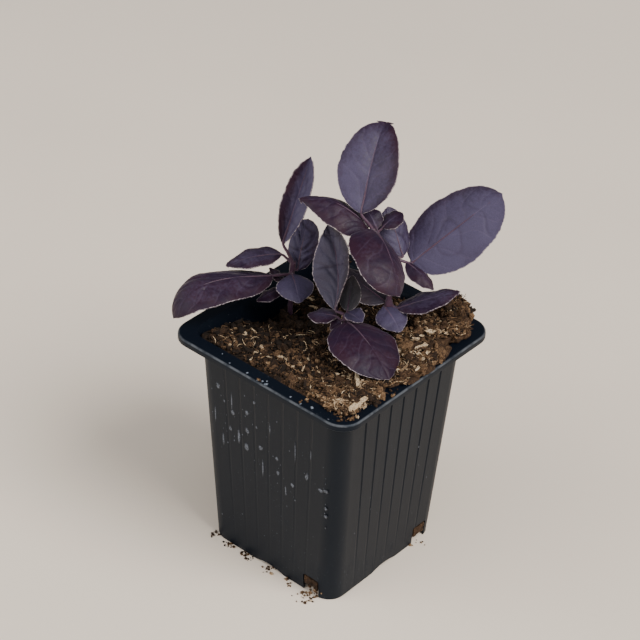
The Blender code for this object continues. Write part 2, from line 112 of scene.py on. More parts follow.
GROOVE_FOOT = 8 * MM
GROOVE_RUN_OUT = 0.7
GROOVE_END = 0.12 * MM
SLOT_WIDTH = 8 * MM
SLOT_HEIGHT = 8.5 * MM
SLOT_CENTRE = 22 * MM
SLOT_ROUND = 1 * MM
SLOT_ROUND_STEPS = 4
ARCH_WIDTH = 16 * MM
ARCH_RISE = 1.6 * MM
ARCH_SIDES = 192
CUTTER_DEEP = 6 * MM
CUTTER_PAST = 1 * MM
POT_SHARP = radians(32)

# Spots of lime on the left wall: distance from its middle, height, length and width, in mm
LIME_SPOTS = [
    (-26, 81, 3.7, 2.3), (-18.5, 71.5, 3.7, 2.2), (-11, 75.5, 3.3, 2.3), (-20, 62.5, 2.9, 2),
    (-11, 66.5, 3.7, 2.6), (-11.5, 58, 4.6, 3.1), (-4, 61.5, 3.3, 2.6), (4.5, 61, 2.6, 1.9),
    (5, 54, 2.9, 1.9), (12.5, 52, 2.6, 2.2), (20, 61, 4.4, 2), (27, 58, 2.2, 3.2), (31, 59, 1.8, 3),
    (30, 50, 2, 1.8), (31, 46, 2.2, 2), (-23, 75, 1.8, 1.2), (-7, 83, 2.4, 1.4), (-6, 71, 1.8, 1.1),
    (-19, 77, 9.9, 0.8), (-15.5, 61, 8.8, 1.8), (-3, 52, 11, 0.9), (14, 70, 12.1, 0.7),
    (9, 47, 6.6, 0.7), (-28, 66, 9.9, 0.9), (22, 73, 5.5, 0.8), (-24, 55, 7.7, 1.2), (1, 74, 6.6, 0.7),
]
LIME_STRAYS = 3
LIME_SPREAD = 3.5
LIME_SPRINKLE = 60
LIME_ACROSS = 28
LIME_HEIGHTS = (12, 88)
LIME_REACH = 29.5 * MM
LIME_PROUD = 0.01 * MM
FLAKE_SIDES = 14
FLAKE_EDGE = 0.24
FLAKE_DEPTH = 0.03
FLAKE_RAGGED = 0.5
FLAKE_THICK = 0.05 * MM

# Flakes of lime on the rim: x, y and size in mm
RIM_FLAKES = [
    (1, -43.7, 1.5), (2.6, -43.2, 1.1), (4.8, -43.6, 1.7), (3.8, -41.9, 0.9), (-5, -43.3, 1),
    (16.6, -43, 0.9), (22, -43.5, 1), (26.6, -42.4, 1.5), (35.5, -43.3, 0.8), (-14, -43.4, 0.7),
    (43.3, -15, 0.8), (-20, -41, 0.6),
]

# Compost, its height given at the pot's corners
COMPOST_FRONT = 103 * MM
COMPOST_RIGHT = 106 * MM
COMPOST_BACK = 92 * MM
COMPOST_LEFT = 99.5 * MM
HOLLOW_CENTRE = (-32 * MM, 4 * MM)
HOLLOW_DEPTH = 9 * MM
HOLLOW_REACH = 17 * MM
CRUMB = 1.1 * MM
CRUMB_SIZE = 7 * MM
COMPOST_EDGE = 0.6 * MM
SHOULDER_DROP = 1 * MM
COMPOST_GRID = 190
# Grains in the surface: their size and how far they stand out
GRAIN_SIZES = ((2.6 * MM, 1.1 * MM), (1.1 * MM, 0.45 * MM))
PLUG_WIDTH = SLOT_WIDTH - 1.2 * MM
PLUG_TOP = SLOT_HEIGHT - 0.6 * MM
PLUG_PROUD = 0.6 * MM
PLUG_DEEP = 5 * MM
PLUG_CUTS = 11

# Heaps of compost spilled on the rim: centre x and y, reach along x and y, height over the rim, in mm
HEAPS = [
    (30.5, 34.5, 7.5, 7.5, 10.5),
    (27, 29, 11, 11, 5.5),
    (36, 31, 5.5, 6.5, 5),
    (39, 4, 5.6, 17, 2.4),
    (36, -24, 4.6, 11, 1.6),
    (33, -33, 6, 5, 1.2),
]
HEAP_SINK = 0.1
HEAP_SPLITS = 5
HEAP_SHARE = 0.4
HEAP_ROUGH = 0.3
HEAP_LIMIT = 43.5 * MM
HEAP_CORNER_LIMIT = 77 * MM

# Painted shade on the compost: darkest under the plants, about a centre given as seen from the front
# corner in mm, and darker towards the left
PAINTED_SHADE_CENTRE = (-16, 10, 0)
PAINTED_SHADE_REACH = 26 * MM
PAINTED_SHADE = 0.18
SHADE_LEFT = 0.2
LIGHT_RIGHT = 0.03
LIGHT_REACH = 35 * MM
PALE = 0.8
PALE_SHADOW = 0.3

# The coarser chips of wood, the palest first: centre x and y in mm, turn in degrees, length and
# width in mm
CHIPS = [
    (30.5, -21, 134, 11, 1.8), (39.5, -30.5, 88, 10, 2.4), (30, 6, 66, 7, 1.7), (35, 12, 70, 6, 1.7),
    (33, 22, 60, 7, 2.2), (30, 15, 40, 5, 1.5), (17, -33, 54, 4, 1.8), (6, -34, 173, 4, 1.8),
    (22, -35, 7, 4, 1.6), (6, -26, 156, 5, 1.6), (14, -29, 143, 6, 1.5), (20, -23, 109, 5, 1.5),
    (-2, -33, 15, 5, 1.6), (-12, -24, 70, 6, 1.6), (-24, -29, 160, 7, 1.8), (-8, -8, 30, 6, 1.5),
    (-6, 12, 120, 7, 1.7), (5, 29, 75, 6, 1.6), (-14, 30, 10, 7, 1.8), (24, 27, 100, 5, 1.6),
]
PALE_CHIPS = 6
CHIP_THICK = 1.1 * MM
FRESH_SPLINTERS = 0.17
LUMPS = 230
SPOT_REACH = 40
CRUMB_RADIUS = 0.34 * MM
CRUMB_LARGEST = 1.7 * MM
CRUMB_KINDS = 6
SPLINTER_KINDS = 6
FIBRE_KINDS = 8
FIBRE_BENDS = 6
FIBRE_RADIUS = 0.024

# Large clods: x, y and radius in mm
CLODS = [(-24, 1.5, 4.4), (-18.5, -1, 2.8), (-27, -5.5, 3), (-12, -4, 2.4), (-20, 8, 2.6), (30, 8, 2.6)]

# Compost fallen on the rim and the ground: centre x, y and z in mm, reach in mm, and how many crumbs
SPILLS = [
    (2, -44, 102, 1.6, 7), (38, -38, 102, 3.2, 22), (42, -37, 102, 2, 8), (44, 6, 102, 1.6, 6),
    (42.4, 13.7, 102, 2, 8), (43, -15, 102, 2, 6), (22, -41, 102, 2, 5), (-30, -33.5, 0, 1.6, 16),
    (-22, -33.5, 0, 2.4, 18), (-11, -33.5, 0, 3, 22), (1, -33.5, 0, 3, 14), (12, -34, 0, 3, 12),
    (23, -34.5, 0, 4, 34), (33.5, 20, 0, 3, 8), (-26, 41, 102, 2, 5), (24, -33, 3, 2, 12),
]
# Spills over this height, in mm, are those on the rim
RIM_SPILL = 50
SPILL_LIMIT = RIM_SIDE / 2 - 1.2 * MM

# Plants, laid out as seen from the pot's front corner: right, away and up in millimetres
FRONT_TURN = radians(39.7)
STEM_ROOT = 1.3 * MM
STEM_TIP = 0.8 * MM
STEM_STEP = 1 * MM
STEM_SIDES = 20
STEM_SQUARE = 0.08
NODE_SWELL = 0.22
NODE_REACH = 1.6 * MM
PETIOLE_SIDES = 12
PETIOLE_ROOT = 0.75 * MM
PETIOLE_BLADE = 0.5 * MM
RIB_END = 0.1 * MM
SOURCE_THICK = 0.7 * MM
STALK_UNDER = 0.6 * SOURCE_THICK
APEX = 0.05
APEX_WIDTH = 0.3
BLADE_WAVES = 2.5
CUP_STEPS = 4
MIDRIB_STEPS = 40
FULL_LENGTH = 30
SMALL_STALK = 0.6
STALK_STEP = 0.8 * MM
# The midrib's steps that a stalk passes under, and the share of the blade over which it thins
RIB_STEPS = (0, 6, 12, 20, 28, 35)
RIB_SHARE = 0.8
# Rows of a blade's grid for each mm of its length, and columns of each half for each mm of its width
ROW_DENSITY = 2.5
COLUMN_DENSITY = 0.85
TIP_PART = 0.96
BLISTER_PATCH = 5 * MM
WARP_PATCH = 8 * MM
WARP_DEPTH = 0.4 * MM
GRAIN_PATCH = 1.7 * MM
GRAIN_DEPTH = 0.07 * MM
CREASE_PATCH = 11 * MM
CREASE_NARROW = 0.055
CREASE_DEPTH = 0.5 * MM
VEIN_NARROW = 0.07
RIB_NARROW = 0.5 * MM
SIDE_VEINS = 5
VEIN_LEAN = 0.42
TEETH = 11
HAIR_THICK = 0.045 * MM
HAIR_SPREAD = 0.35
STEM_HAIR = 0.7 * MM
STALK_HAIR = 0.5 * MM
MARGIN_HAIR = 0.35 * MM

# Stage, and the camera matched to the photograph
FLOOR_REACH = 3
LIGHT_SIZE = 1.3
LIGHT_AIM = Vector((0, 0, 90 * MM))
KEY_PLACE = (1150, -850, 1800)
FILL_PLACE = (-1050, -450, 750)
SKY_COLOUR = (0.92, 0.95, 1, 1)
CAMERA_SENSOR = 36
CAMERA_AZIMUTH = radians(39.674)
CAMERA_ELEVATION = radians(35.774)
CAMERA_ROLL = radians(2.605)
CAMERA_TARGET = Vector((-7.72, 1.413, 102)) * MM
CAMERA_DISTANCE = 884.156 * MM
CAMERA_LENS = 127.69


def length(name, description, default):
    return FloatProperty(
        name=name, description=description, default=default, min=0, precision=5,
        subtype="DISTANCE", unit="LENGTH",
    )


def share(name, description, default):
    return FloatProperty(
        name=name, description=description, default=default, min=0, max=1, subtype="FACTOR"
    )


def colour(name, description, default):
    return FloatVectorProperty(
        name=name, description=description, default=default, min=0, max=1, size=3, subtype="COLOR"
    )


def amount(name, description, default):
    return IntProperty(name=name, description=description, default=default, min=0)


def light(name, description, default, unit="POWER"):
    return FloatProperty(name=name, description=description, default=default, min=0, unit=unit)


class PotSettings(PropertyGroup):
    """Sizes and colours of the pot."""

    groove_depth: length("Groove depth", "How deep the grooves are under the rim", 0.45 * MM)
    plastic: colour("Plastic", "The pot's own colour", (0.0028, 0.0045, 0.0088))
    worn: colour("Worn plastic", "The plastic where it is scuffed and dusty", (0.0095, 0.0138, 0.021))
    # The rim's outer top edge is painted paler: a painted highlight of the light it catches, with a little
    # wear
    edge: colour("Rubbed edge", "The plastic along the rim's rubbed edge", (0.09, 0.094, 0.102))
    lime: colour("Lime", "The dried spots of lime", (0.32, 0.36, 0.43))
    roughness: share("Roughness", "How dull the plastic is", 0.42)
    haze: share("Haze", "How much fine dust lies on the walls", 0.35)


class CompostSettings(PropertyGroup):
    """Amounts and colours of the compost."""

    crumbs: amount("Crumbs", "How many crumbs lie on it", 4800)
    fibres: amount("Fibres", "How many fibres lie on it", 2700)
    splinters: amount("Splinters", "How many small splinters of wood lie on it", 1500)
    dark: colour("Dark", "The darkest crumbs", (0.012, 0.007, 0.004))
    brown: colour("Brown", "The most common crumbs", (0.056, 0.028, 0.013))
    tan: colour("Tan", "Dry fibres", (0.21, 0.12, 0.058))
    cream: colour("Cream", "Fresh wood", (0.62, 0.47, 0.3))


class LeafSettings(PropertyGroup):
    """Sizes and colours of the plants."""

    thickness: length("Blade thickness", "How thick a leaf's blade is", 0.35 * MM)
    vein_depth: length("Vein depth", "How deep the side veins lie", 0.12 * MM)
    rib_depth: length("Midrib depth", "How deep the midrib lies", 0.35 * MM)
    tooth: length("Tooth", "How far the margin's teeth stand out", 0.22 * MM)
    purple: colour("Purple", "A blade in shade", (0.015, 0.0042, 0.018))
    wine: colour("Wine", "The redder parts of a blade", (0.025, 0.0048, 0.0145))
    # The violet stands partly for the leaf's own colour and partly for a painted sheen of the sky
    violet: colour("Violet grey", "A blade's bloom", (0.062, 0.048, 0.092))
    green: colour("Green grey", "The greener blades", (0.085, 0.09, 0.085))
    vein: colour("Vein", "The midrib and veins", (0.15, 0.11, 0.17))
    # The pale margin is a painted highlight of light caught along the blade's edge and its hairs
    margin: colour("Margin", "The blade's thin pale edge", (0.5, 0.42, 0.42))
    under: colour("Underside", "The blade's underside", (0.05, 0.016, 0.04))
    stem: colour("Stem", "Stems and leaf stalks", (0.07, 0.022, 0.045))
    hair: colour("Hair", "The fine hairs", (0.45, 0.38, 0.44))
    hairs: amount("Hairs", "About how many hairs a plant has", 1500)


class StageSettings(PropertyGroup):
    """Floor and lights."""

    floor: colour("Floor", "The floor's colour", (0.93, 0.79, 0.64))
    sky: light("Sky", "Strength of the light from all round", 0.74, "NONE")
    key: light("Key", "Power of the main light", 50)
    fill: light("Fill", "Power of the second light", 8)


def mix(a, b, part):
    return a + (b - a) * part


def clamp(value, low=0, high=1):
    return min(max(value, low), high)


def add_object(name, bm, finish, sharp=None):
    """The bmesh as a new object with its finish, shaded smooth."""
    mesh = bpy.data.meshes.new(name)
    bm.to_mesh(mesh)
    bm.free()
    made = bpy.data.objects.new(name, mesh)
    bpy.context.scene.collection.objects.link(made)
    mesh.materials.append(finish)
    mesh.shade_smooth()
    if sharp:
        mesh.set_sharp_from_angle(angle=radians(sharp))
    return made


def add_piece(name, bm, finish, stands_for=None, sharp=None):
    made = add_object(name, bm, finish, sharp)
    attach(made, "root")
    if stands_for:
        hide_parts(stands_for)
    return made


def move_into(whole, part):
    """Moves the shape in one bmesh into another."""
    held = bpy.data.meshes.new("held")
    part.to_mesh(held)
    part.free()
    whole.from_mesh(held)
    bpy.data.meshes.remove(held)


def new_verts(geom):
    return [item for item in geom if isinstance(item, bmesh.types.BMVert)]


def new_edges(geom):
    return [item for item in geom if isinstance(item, bmesh.types.BMEdge)]


# Node recipes for the materials


class Recipe:
    """Nodes of one material or of the sky. Each method gives the socket that its nodes end in."""

    def __init__(self, owner):
        owner.use_nodes = True
        self.owner, self.tree = owner, owner.node_tree
        self.coordinates = self.add("TexCoord")
        self.place = self.coordinates["Object"]

    def join(self, node, inputs):
        """Links each of the node's inputs to a socket, or sets it to a value."""
        for key, value in inputs.items():
            if isinstance(value, bpy.types.NodeSocket):
                self.tree.links.new(value, node.inputs[key])
            else:
                node.inputs[key].default_value = value
        return node.outputs

    def add(self, kind, inputs=None, **settings):
        made = self.tree.nodes.new("ShaderNode" + kind)
        for key, value in settings.items():
            setattr(made, key, value)
        return self.join(made, inputs or {})

    def maths(self, operation, first, *others):
        """The values taken together from the left, or the one value changed."""
        for other in others or (0,):
            first = self.add("Math", {0: first, 1: other}, operation=operation)[0]
        return first

    def plus(self, *values):
        return self.maths("ADD", *values)

    def times(self, *values):
        return self.maths("MULTIPLY", *values)

    def between(self, value, low, high, to_low=0, to_high=1):
        """The value moved from low and high to the other two ends, eased and clamped."""
        inputs = {"Value": value, "From Min": low, "From Max": high, "To Min": to_low, "To Max": to_high}
        return self.add("MapRange", inputs, interpolation_type="SMOOTHSTEP")[0]

    def blend(self, part, a, b, blend_type="MIX"):
        """Two colours mixed."""
        sides = [v if isinstance(v, bpy.types.NodeSocket) else (*v, 1) for v in (a, b)]
        inputs = {0: part, 6: sides[0], 7: sides[1]}
        return self.add("Mix", inputs, data_type="RGBA", blend_type=blend_type)[2]

    def shaded(self, paint, value):
        """The colour, darker where the value is under 1."""
        grey = self.add("CombineColor", {0: value, 1: value, 2: value})[0]
        return self.blend(1, paint, grey, "MULTIPLY")

    def attribute(self, name, output="Fac"):
        return self.add("Attribute", attribute_name=name)[output]

    def clouds(self, size, detail=3, stretch=None):
        """Noise from 0 to 1 with patches about size across, drawn out where stretch is under 1."""
        place = self.place
        if stretch:
            place = self.add("Mapping", {"Vector": place, "Scale": stretch})[0]
        inputs = {"Vector": place, "Scale": 1 / size, "Detail": detail, "Roughness": CLOUD_ROUGHNESS}
        return self.add("TexNoise", inputs)[0]

    def finish(self, paint, roughness, bump=None, bump_depth=0, values=None):
        """The material, its shader given a colour, roughness, bump and other values."""
        inputs = {"Base Color": paint, "Roughness": roughness, **(values or {})}
        if bump:
            inputs["Normal"] = self.add("Bump", {"Height": bump, "Distance": bump_depth, "Strength": 1})[0]
        self.join(self.tree.nodes["Principled BSDF"], inputs)
        return self.owner


def new_finish(name):
    return Recipe(bpy.data.materials.new(name))


# Pot


def wall_half(z):
    """Half the pot's outer width at a height."""
    return mix(BASE_SIDE, WALL_TOP_SIDE, z / (POT_HEIGHT - RIM_LIP)) / 2


def wall_ring(z, inset=0):
    corner = mix(BASE_CORNER, WALL_TOP_CORNER, z / (POT_HEIGHT - RIM_LIP))
    return 2 * (wall_half(z) - inset), corner - inset, z


def round_over(side, corner, z, out, up):
    """Rings of a quarter turn that ends at the given ring. out and up are its reach either way."""
    rings = []
    for i in range(ROUND_STEPS + 1):
        turn = i / ROUND_STEPS * pi / 2
        back = 1 - sin(turn) if out < 0 else 1 - cos(turn)
        lift = 1 - cos(turn) if out < 0 else sin(turn)
        rings.append((side - 2 * abs(out) * back, corner - abs(out) * back, z + up * lift))
    return rings


def reshape(verts, start, end):
    """Moves a ring of points from one rounded square to another: side, corner radius and height."""
    middle, new_middle = start[0] / 2 - start[1], end[0] / 2 - end[1]
    for vert in verts:
        place = []
        for value in vert.co.xy:
            held = clamp(value, -middle, middle)
            place.append(held * new_middle / middle + (value - held) * end[1] / start[1])
        vert.co = (*place, end[2])


def grow_ring(bm, edges, start, end):
    """The next ring of a wall, extruded from the last."""
    made = bmesh.ops.extrude_edge_only(bm, edges=edges)["geom"]
    reshape(new_verts(made), start, end)
    return new_edges(made)


def pot_rings():
    """The pot's profile from under its floor, down the skirt, up outside and down inside."""
    under_rim = POT_HEIGHT - WALL
    lip_inside = RIM_SIDE - 2 * WALL
    outer, inner = RIM_OUTER_ROUND, RIM_INNER_ROUND
    rings = [wall_ring(EDGE_ROUND, WALL), wall_ring(0, WALL - EDGE_ROUND), wall_ring(0, EDGE_ROUND)]
    rings += [wall_ring(z) for z in (EDGE_ROUND, GROOVE_FOOT, *WALL_HEIGHTS, GROOVE_TOP)]
    rings += [wall_ring(GROOVE_TOP + GROOVE_END), wall_ring(FLARE_FOOT)]
    opening = OPENING_SIDE + 2 * WALL
    rings.append((mix(WALL_TOP_SIDE, opening, FLARE_PART), WALL_TOP_CORNER + 0.3 * MM, FLARE_MIDDLE))
    rings.append((opening, OPENING_CORNER + WALL, under_rim))
    rings.append((lip_inside, RIM_CORNER - WALL, under_rim))
    rings.append((lip_inside, RIM_CORNER - WALL, POT_HEIGHT - RIM_LIP + EDGE_ROUND))
    rings.append((lip_inside + EDGE_ROUND, RIM_CORNER - WALL + EDGE_ROUND / 2, POT_HEIGHT - RIM_LIP))
    rings.append((RIM_SIDE - 2 * EDGE_ROUND, RIM_CORNER - EDGE_ROUND, POT_HEIGHT - RIM_LIP))
    rings.append((RIM_SIDE, RIM_CORNER, POT_HEIGHT - RIM_LIP + EDGE_ROUND))
    rings += round_over(RIM_SIDE, RIM_CORNER, POT_HEIGHT - outer, outer, outer)
    top_side, top_corner = OPENING_SIDE + 2 * inner, OPENING_CORNER + inner
    rings += round_over(top_side, top_corner, POT_HEIGHT, -inner, -inner)
    rings.append((2 * (wall_half(FLARE_FOOT) - WALL), WALL_TOP_CORNER - 0.5 * MM, FLARE_FOOT))
    rings.append(wall_ring(FLOOR_RISE + 2 * WALL, WALL))
    rings.append(wall_ring(FLOOR_RISE + WALL, WALL + 0.8 * MM))
    return rings


def cut_grooves(bm, depth):
    """Narrow grooves down each wall. They are deepest at the top and run out at the foot."""
    for vert in bm.verts:
        x, y, z = vert.co
        if not GROOVE_FOOT < z < GROOVE_TOP + 0.01 * MM:
            continue
        half = wall_half(z)
        flat = half - wall_ring(z)[1]
        if max(abs(x), abs(y)) < half - 0.1 * MM or min(abs(x), abs(y)) > flat:
            continue
        across = y if abs(x) > abs(y) else x
        step = round((across / flat + 1) * (GROOVES + 1) / 2 * GROOVE_STEPS)
        groove = round(step / GROOVE_STEPS)
        if abs(step - groove * GROOVE_STEPS) > 1 or not 1 <= groove <= GROOVES:
            continue
        into = depth * ((z - GROOVE_FOOT) / (GROOVE_TOP - GROOVE_FOOT)) ** GROOVE_RUN_OUT
        if abs(x) > abs(y):
            vert.co.x -= into if x > 0 else -into
        else:
            vert.co.y -= GROOVE_FAINT * (into if y > 0 else -into)


def cut_with(body, cutter, operation):
    """Applies one Boolean to the body and removes the cutter."""
    change = body.modifiers.new(operation.title(), "BOOLEAN")
    change.operation, change.object, change.solver = operation, cutter, "MANIFOLD"
    bpy.context.view_layer.update()
    shown = body.evaluated_get(bpy.context.evaluated_depsgraph_get())
    mesh = bpy.data.meshes.new_from_object(shown)
    body.modifiers.clear()
    body.data = mesh
    bpy.data.objects.remove(cutter)


def foot_cutters(finish):
    """A drainage slot and a low arch for each wall."""
    bm = bmesh.new()
    radius = (ARCH_WIDTH ** 2 / 4 + ARCH_RISE ** 2) / (2 * ARCH_RISE)
    for wall in range(4):
        turn = Matrix.Rotation(wall * pi / 2, 4, "Z")
        place = Matrix.Translation((-SLOT_CENTRE, BASE_SIDE / 2, (SLOT_HEIGHT - CUTTER_PAST) / 2))
        size = Matrix.Diagonal((SLOT_WIDTH, CUTTER_DEEP, SLOT_HEIGHT + CUTTER_PAST, 1))
        slot = bmesh.ops.create_cube(bm, size=1, matrix=turn @ place @ size)["verts"]
        through = [
            edge for edge in {edge for vert in slot for edge in vert.link_edges}
            if abs(edge.verts[0].co.z - edge.verts[1].co.z) < MM
            and edge.calc_length() < SLOT_WIDTH - MM and edge.verts[0].co.z > 0
        ]
        bmesh.ops.bevel(
            bm, geom=through, offset=SLOT_ROUND, affect="EDGES", segments=SLOT_ROUND_STEPS,
            profile=0.5, material=-1,
        )
        axis = Matrix.Translation((0, BASE_SIDE / 2, ARCH_RISE - radius)) @ Matrix.Rotation(pi / 2, 4, "X")
        bmesh.ops.create_cone(
            bm, cap_ends=True, segments=ARCH_SIDES, radius1=radius, radius2=radius, depth=CUTTER_DEEP,
            matrix=turn @ axis,
        )
    return add_object("foot_cutters", bm, finish)


def rim_edge_highlight(nodes, x, y, z):
    """1 along the rim's outer top edge, where a painted highlight lies with a little wear, 0 elsewhere."""
    straight = RIM_SIDE / 2 - RIM_CORNER
    past = [nodes.maths("SUBTRACT", nodes.maths("ABSOLUTE", side), straight) for side in (x, y)]
    past = [nodes.maths("MAXIMUM", side, 0) for side in past]
    squares = nodes.plus(*[nodes.times(side, side) for side in past])
    inside = nodes.maths("SUBTRACT", RIM_CORNER, nodes.maths("SQRT", squares))
    return nodes.times(
        nodes.between(inside, 0.9 * MM, 0.45 * MM), nodes.between(inside, 0.02 * MM, 0.15 * MM),
        nodes.between(z, POT_HEIGHT - 1.1 * MM, POT_HEIGHT - 0.7 * MM),
        nodes.between(nodes.clouds(5 * MM), 0.35, 0.6, 0.25, 0.9),
    )


def pot_finish(settings):
    """Satin black plastic, dulled by fine dust that lies thicker in patches and near the foot."""
    nodes = new_finish("black_plastic")
    x, y, z = nodes.add("SeparateXYZ", {0: nodes.place})
    patches, streaks = nodes.clouds(24 * MM, 4), nodes.clouds(3 * MM, 4, (1, 1, 0.12))
    dusty = nodes.times(nodes.between(patches, 0.42, 0.7), nodes.between(streaks, 0.35, 0.75))
    low = nodes.between(z, 30 * MM, 2 * MM, 0, 0.5)
    specks = nodes.between(nodes.clouds(0.7 * MM, 2), 0.5, 0.72, 0.45, 1)
    dust = nodes.times(nodes.plus(dusty, low), specks, settings.haze)
    paint = nodes.blend(dust, settings.plastic, settings.worn)
    flecks = nodes.between(nodes.clouds(0.45 * MM, 1), 0.74, 0.8, 0, 0.5)
    flecks = nodes.times(flecks, nodes.between(patches, 0.4, 0.65))
    paint = nodes.blend(flecks, paint, settings.lime)
    # Painted highlight along the rim's outer top edge, with a little wear
    paint = nodes.blend(rim_edge_highlight(nodes, x, y, z), paint, settings.edge)
    rough = nodes.between(dust, 0, 0.5, settings.roughness, settings.roughness + 0.22)
    grain = nodes.plus(nodes.clouds(0.35 * MM, 2), nodes.times(streaks, 2))
    gloss = {"Specular IOR Level": 0.18, "Specular Tint": (0.7, 0.85, 1, 1)}
    return nodes.finish(paint, rough, grain, 0.02 * MM, gloss)


def lime_finish(settings):
    """Pale powder, so thin at a flake's edge that the plastic shows."""
    nodes = new_finish("dried_lime")
    powder = nodes.clouds(0.5 * MM, 4)
    thick = nodes.between(nodes.attribute("thin"), 0, 0.9, 0, 0.8)
    cover = nodes.times(nodes.between(powder, 0.3, 0.65), thick)
    return nodes.finish(nodes.blend(cover, settings.plastic, settings.lime), 0.85, powder, 0.05 * MM)


def make_pot(settings):
    finish = pot_finish(settings)
    start = wall_ring(FLOOR_RISE, WALL)
    bm = bmesh.new()
    bmesh.ops.create_grid(bm, x_segments=1, y_segments=1, size=start[0] / 2)
    bmesh.ops.bevel(
        bm, geom=bm.verts[:], offset=start[1], offset_type="OFFSET", affect="VERTICES",
        segments=CORNER_STEPS, profile=0.5, material=-1,
    )
    straight = [edge for edge in bm.edges if edge.calc_length() > start[0] / 2]
    bmesh.ops.subdivide_edges(bm, edges=straight, cuts=GROOVE_STEPS * (GROOVES + 1) - 1)
    reshape(bm.verts, start, start)
    edges = bm.edges[:]
    for end in pot_rings():
        edges = grow_ring(bm, edges, start, end)
        start = end
    bmesh.ops.contextual_create(bm, geom=edges)
    cut_grooves(bm, settings.groove_depth)
    bmesh.ops.recalc_face_normals(bm, faces=bm.faces[:])
    pot = add_object("pot_moulded", bm, finish)
    bm = bmesh.new()
    deep = FLOOR_RISE + WALL / 2
    bmesh.ops.create_cone(
        bm, cap_ends=True, segments=PAD_SIDES, radius1=PAD_RADIUS, radius2=PAD_RADIUS, depth=deep,
        matrix=Matrix.Translation((0, 0, deep / 2)),
    )
    cut_with(pot, add_object("floor_pad", bm, finish), "UNION")
    cut_with(pot, foot_cutters(finish), "DIFFERENCE")
    pot.data.shade_smooth()
    pot.data.set_sharp_from_angle(angle=POT_SHARP)
    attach(pot, "root")
    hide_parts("pot")


def lime_flake(matrix, long, wide, dense):
    """One thin flake of uneven outline, thickest in its middle."""
    bm = bmesh.new()
    thin = bm.verts.layers.float.new("thin")
    bmesh.ops.create_circle(bm, cap_ends=True, segments=FLAKE_SIDES, radius=0.5)
    bmesh.ops.inset_region(
        bm, faces=bm.faces[:], thickness=FLAKE_EDGE, depth=FLAKE_DEPTH, use_boundary=True
    )
    for vert in bm.verts:
        vert[thin] = dense * (1 - vert.co.xy.length / 0.5)
    for vert in bm.verts:
        vert.co.xy *= 1 + FLAKE_RAGGED * noise.noise(vert.co * 3 + matrix.translation / MM)
    size = Matrix.Diagonal((long * MM, wide * MM, 1.6 * MM, 1))
    bmesh.ops.transform(bm, matrix=matrix @ size, verts=bm.verts[:])
    bmesh.ops.solidify(bm, geom=bm.faces[:], thickness=FLAKE_THICK)
    return bm


def make_lime(settings):
    """Thin dried flakes on the left wall, and a sprinkle of smaller ones on all four."""
    chance = random.Random(SEED)
    whole = bmesh.new()
    whole.verts.layers.float.new("thin")
    spots = [(0, *spot) for spot in LIME_SPOTS]
    for across, z, _, _ in LIME_SPOTS:
        for _ in range(LIME_STRAYS):
            size = chance.uniform(0.25, 0.7)
            near = (across + chance.gauss(0, LIME_SPREAD), z + chance.gauss(0, LIME_SPREAD))
            spots.append((0, *near, size * chance.uniform(1, 1.8), size))
    for _ in range(LIME_SPRINKLE):
        wall = chance.choice((0, 1, 2, 3, 2, 3))
        size = chance.uniform(0.2, 0.8)
        place = (chance.uniform(-LIME_ACROSS, LIME_ACROSS), chance.uniform(*LIME_HEIGHTS))
        spots.append((wall, *place, size * chance.uniform(1, 2), size))
    lean = atan2((WALL_TOP_SIDE - BASE_SIDE) / 2, POT_HEIGHT - RIM_LIP)
    for wall, across, z, long, wide in spots:
        across = clamp(across * MM, -LIME_REACH, LIME_REACH)
        place = Matrix.Translation((across, LIME_PROUD - wall_half(z * MM), z * MM))
        upright = 90 if long > 3 * wide else chance.uniform(70, 110)
        turn = Matrix.Rotation(pi / 2 + lean, 4, "X") @ Matrix.Rotation(radians(upright), 4, "Z")
        around = Matrix.Rotation(wall * pi / 2, 4, "Z")
        move_into(whole, lime_flake(around @ place @ turn, long, wide, 1))
    for x, y, size in RIM_FLAKES:
        place = Matrix.Translation((x * MM, y * MM, POT_HEIGHT + LIME_PROUD))
        turn = Matrix.Rotation(chance.uniform(0, pi), 4, "Z")
        move_into(whole, lime_flake(place @ turn, size * 1.3, size * 0.9, 2))
    bmesh.ops.recalc_face_normals(whole, faces=whole.faces[:])
    add_piece("pot_lime", whole, lime_finish(settings))


# Compost


def compost_height(x, y):
    """The compost's surface: a slope between its four corners, a hollow at the left and crumbs."""
    right = clamp(x / OPENING_SIDE + 0.5)
    back = clamp(y / OPENING_SIDE + 0.5)
    front_edge = mix(COMPOST_LEFT, COMPOST_FRONT, right)
    back_edge = mix(COMPOST_BACK, COMPOST_RIGHT, right)
    away = (Vector((x, y)) - Vector(HOLLOW_CENTRE)).length / HOLLOW_REACH
    hollow = HOLLOW_DEPTH * exp(-away * away)
    crumbs = CRUMB * noise.noise(Vector((x, y, SEED)) / CRUMB_SIZE)
    return mix(front_edge, back_edge, back) - hollow + crumbs


def surface_height(x, y):
    """The compost's surface with its heaps."""
    found = compost_height(x, y)
    for middle_x, middle_y, reach_x, reach_y, height in HEAPS:
        inside = 1 - ((x / MM - middle_x) / reach_x) ** 2 - ((y / MM - middle_y) / reach_y) ** 2
        if inside > 0:
            found = max(found, POT_HEIGHT + CLEARANCE + height * sqrt(inside) * MM)
    return found


def on_surface(x, y, up):
    """A point in mm over the compost's surface."""
    spot = Vector((x, y, 0)) * MM
    spot.z = surface_height(spot.x, spot.y) + up * MM
    return spot


def grains(place):
    """How far packed grains of two sizes stand out at a place."""
    found = 0
    for size, depth in GRAIN_SIZES:
        away = noise.voronoi(place / size)[0][0]
        found += depth * (sqrt(max(0, 1 - min(1.3 * away, 1) ** 2)) - 0.5)
    return found


def inside_half(z):
    """Half the compost's width at a height: the pot's inner face less the clearance."""
    flare = clamp((z - FLARE_FOOT) / (POT_HEIGHT - FLARE_FOOT))
    return mix(wall_half(min(z, FLARE_FOOT)) - WALL, OPENING_SIDE / 2, flare) - CLEARANCE


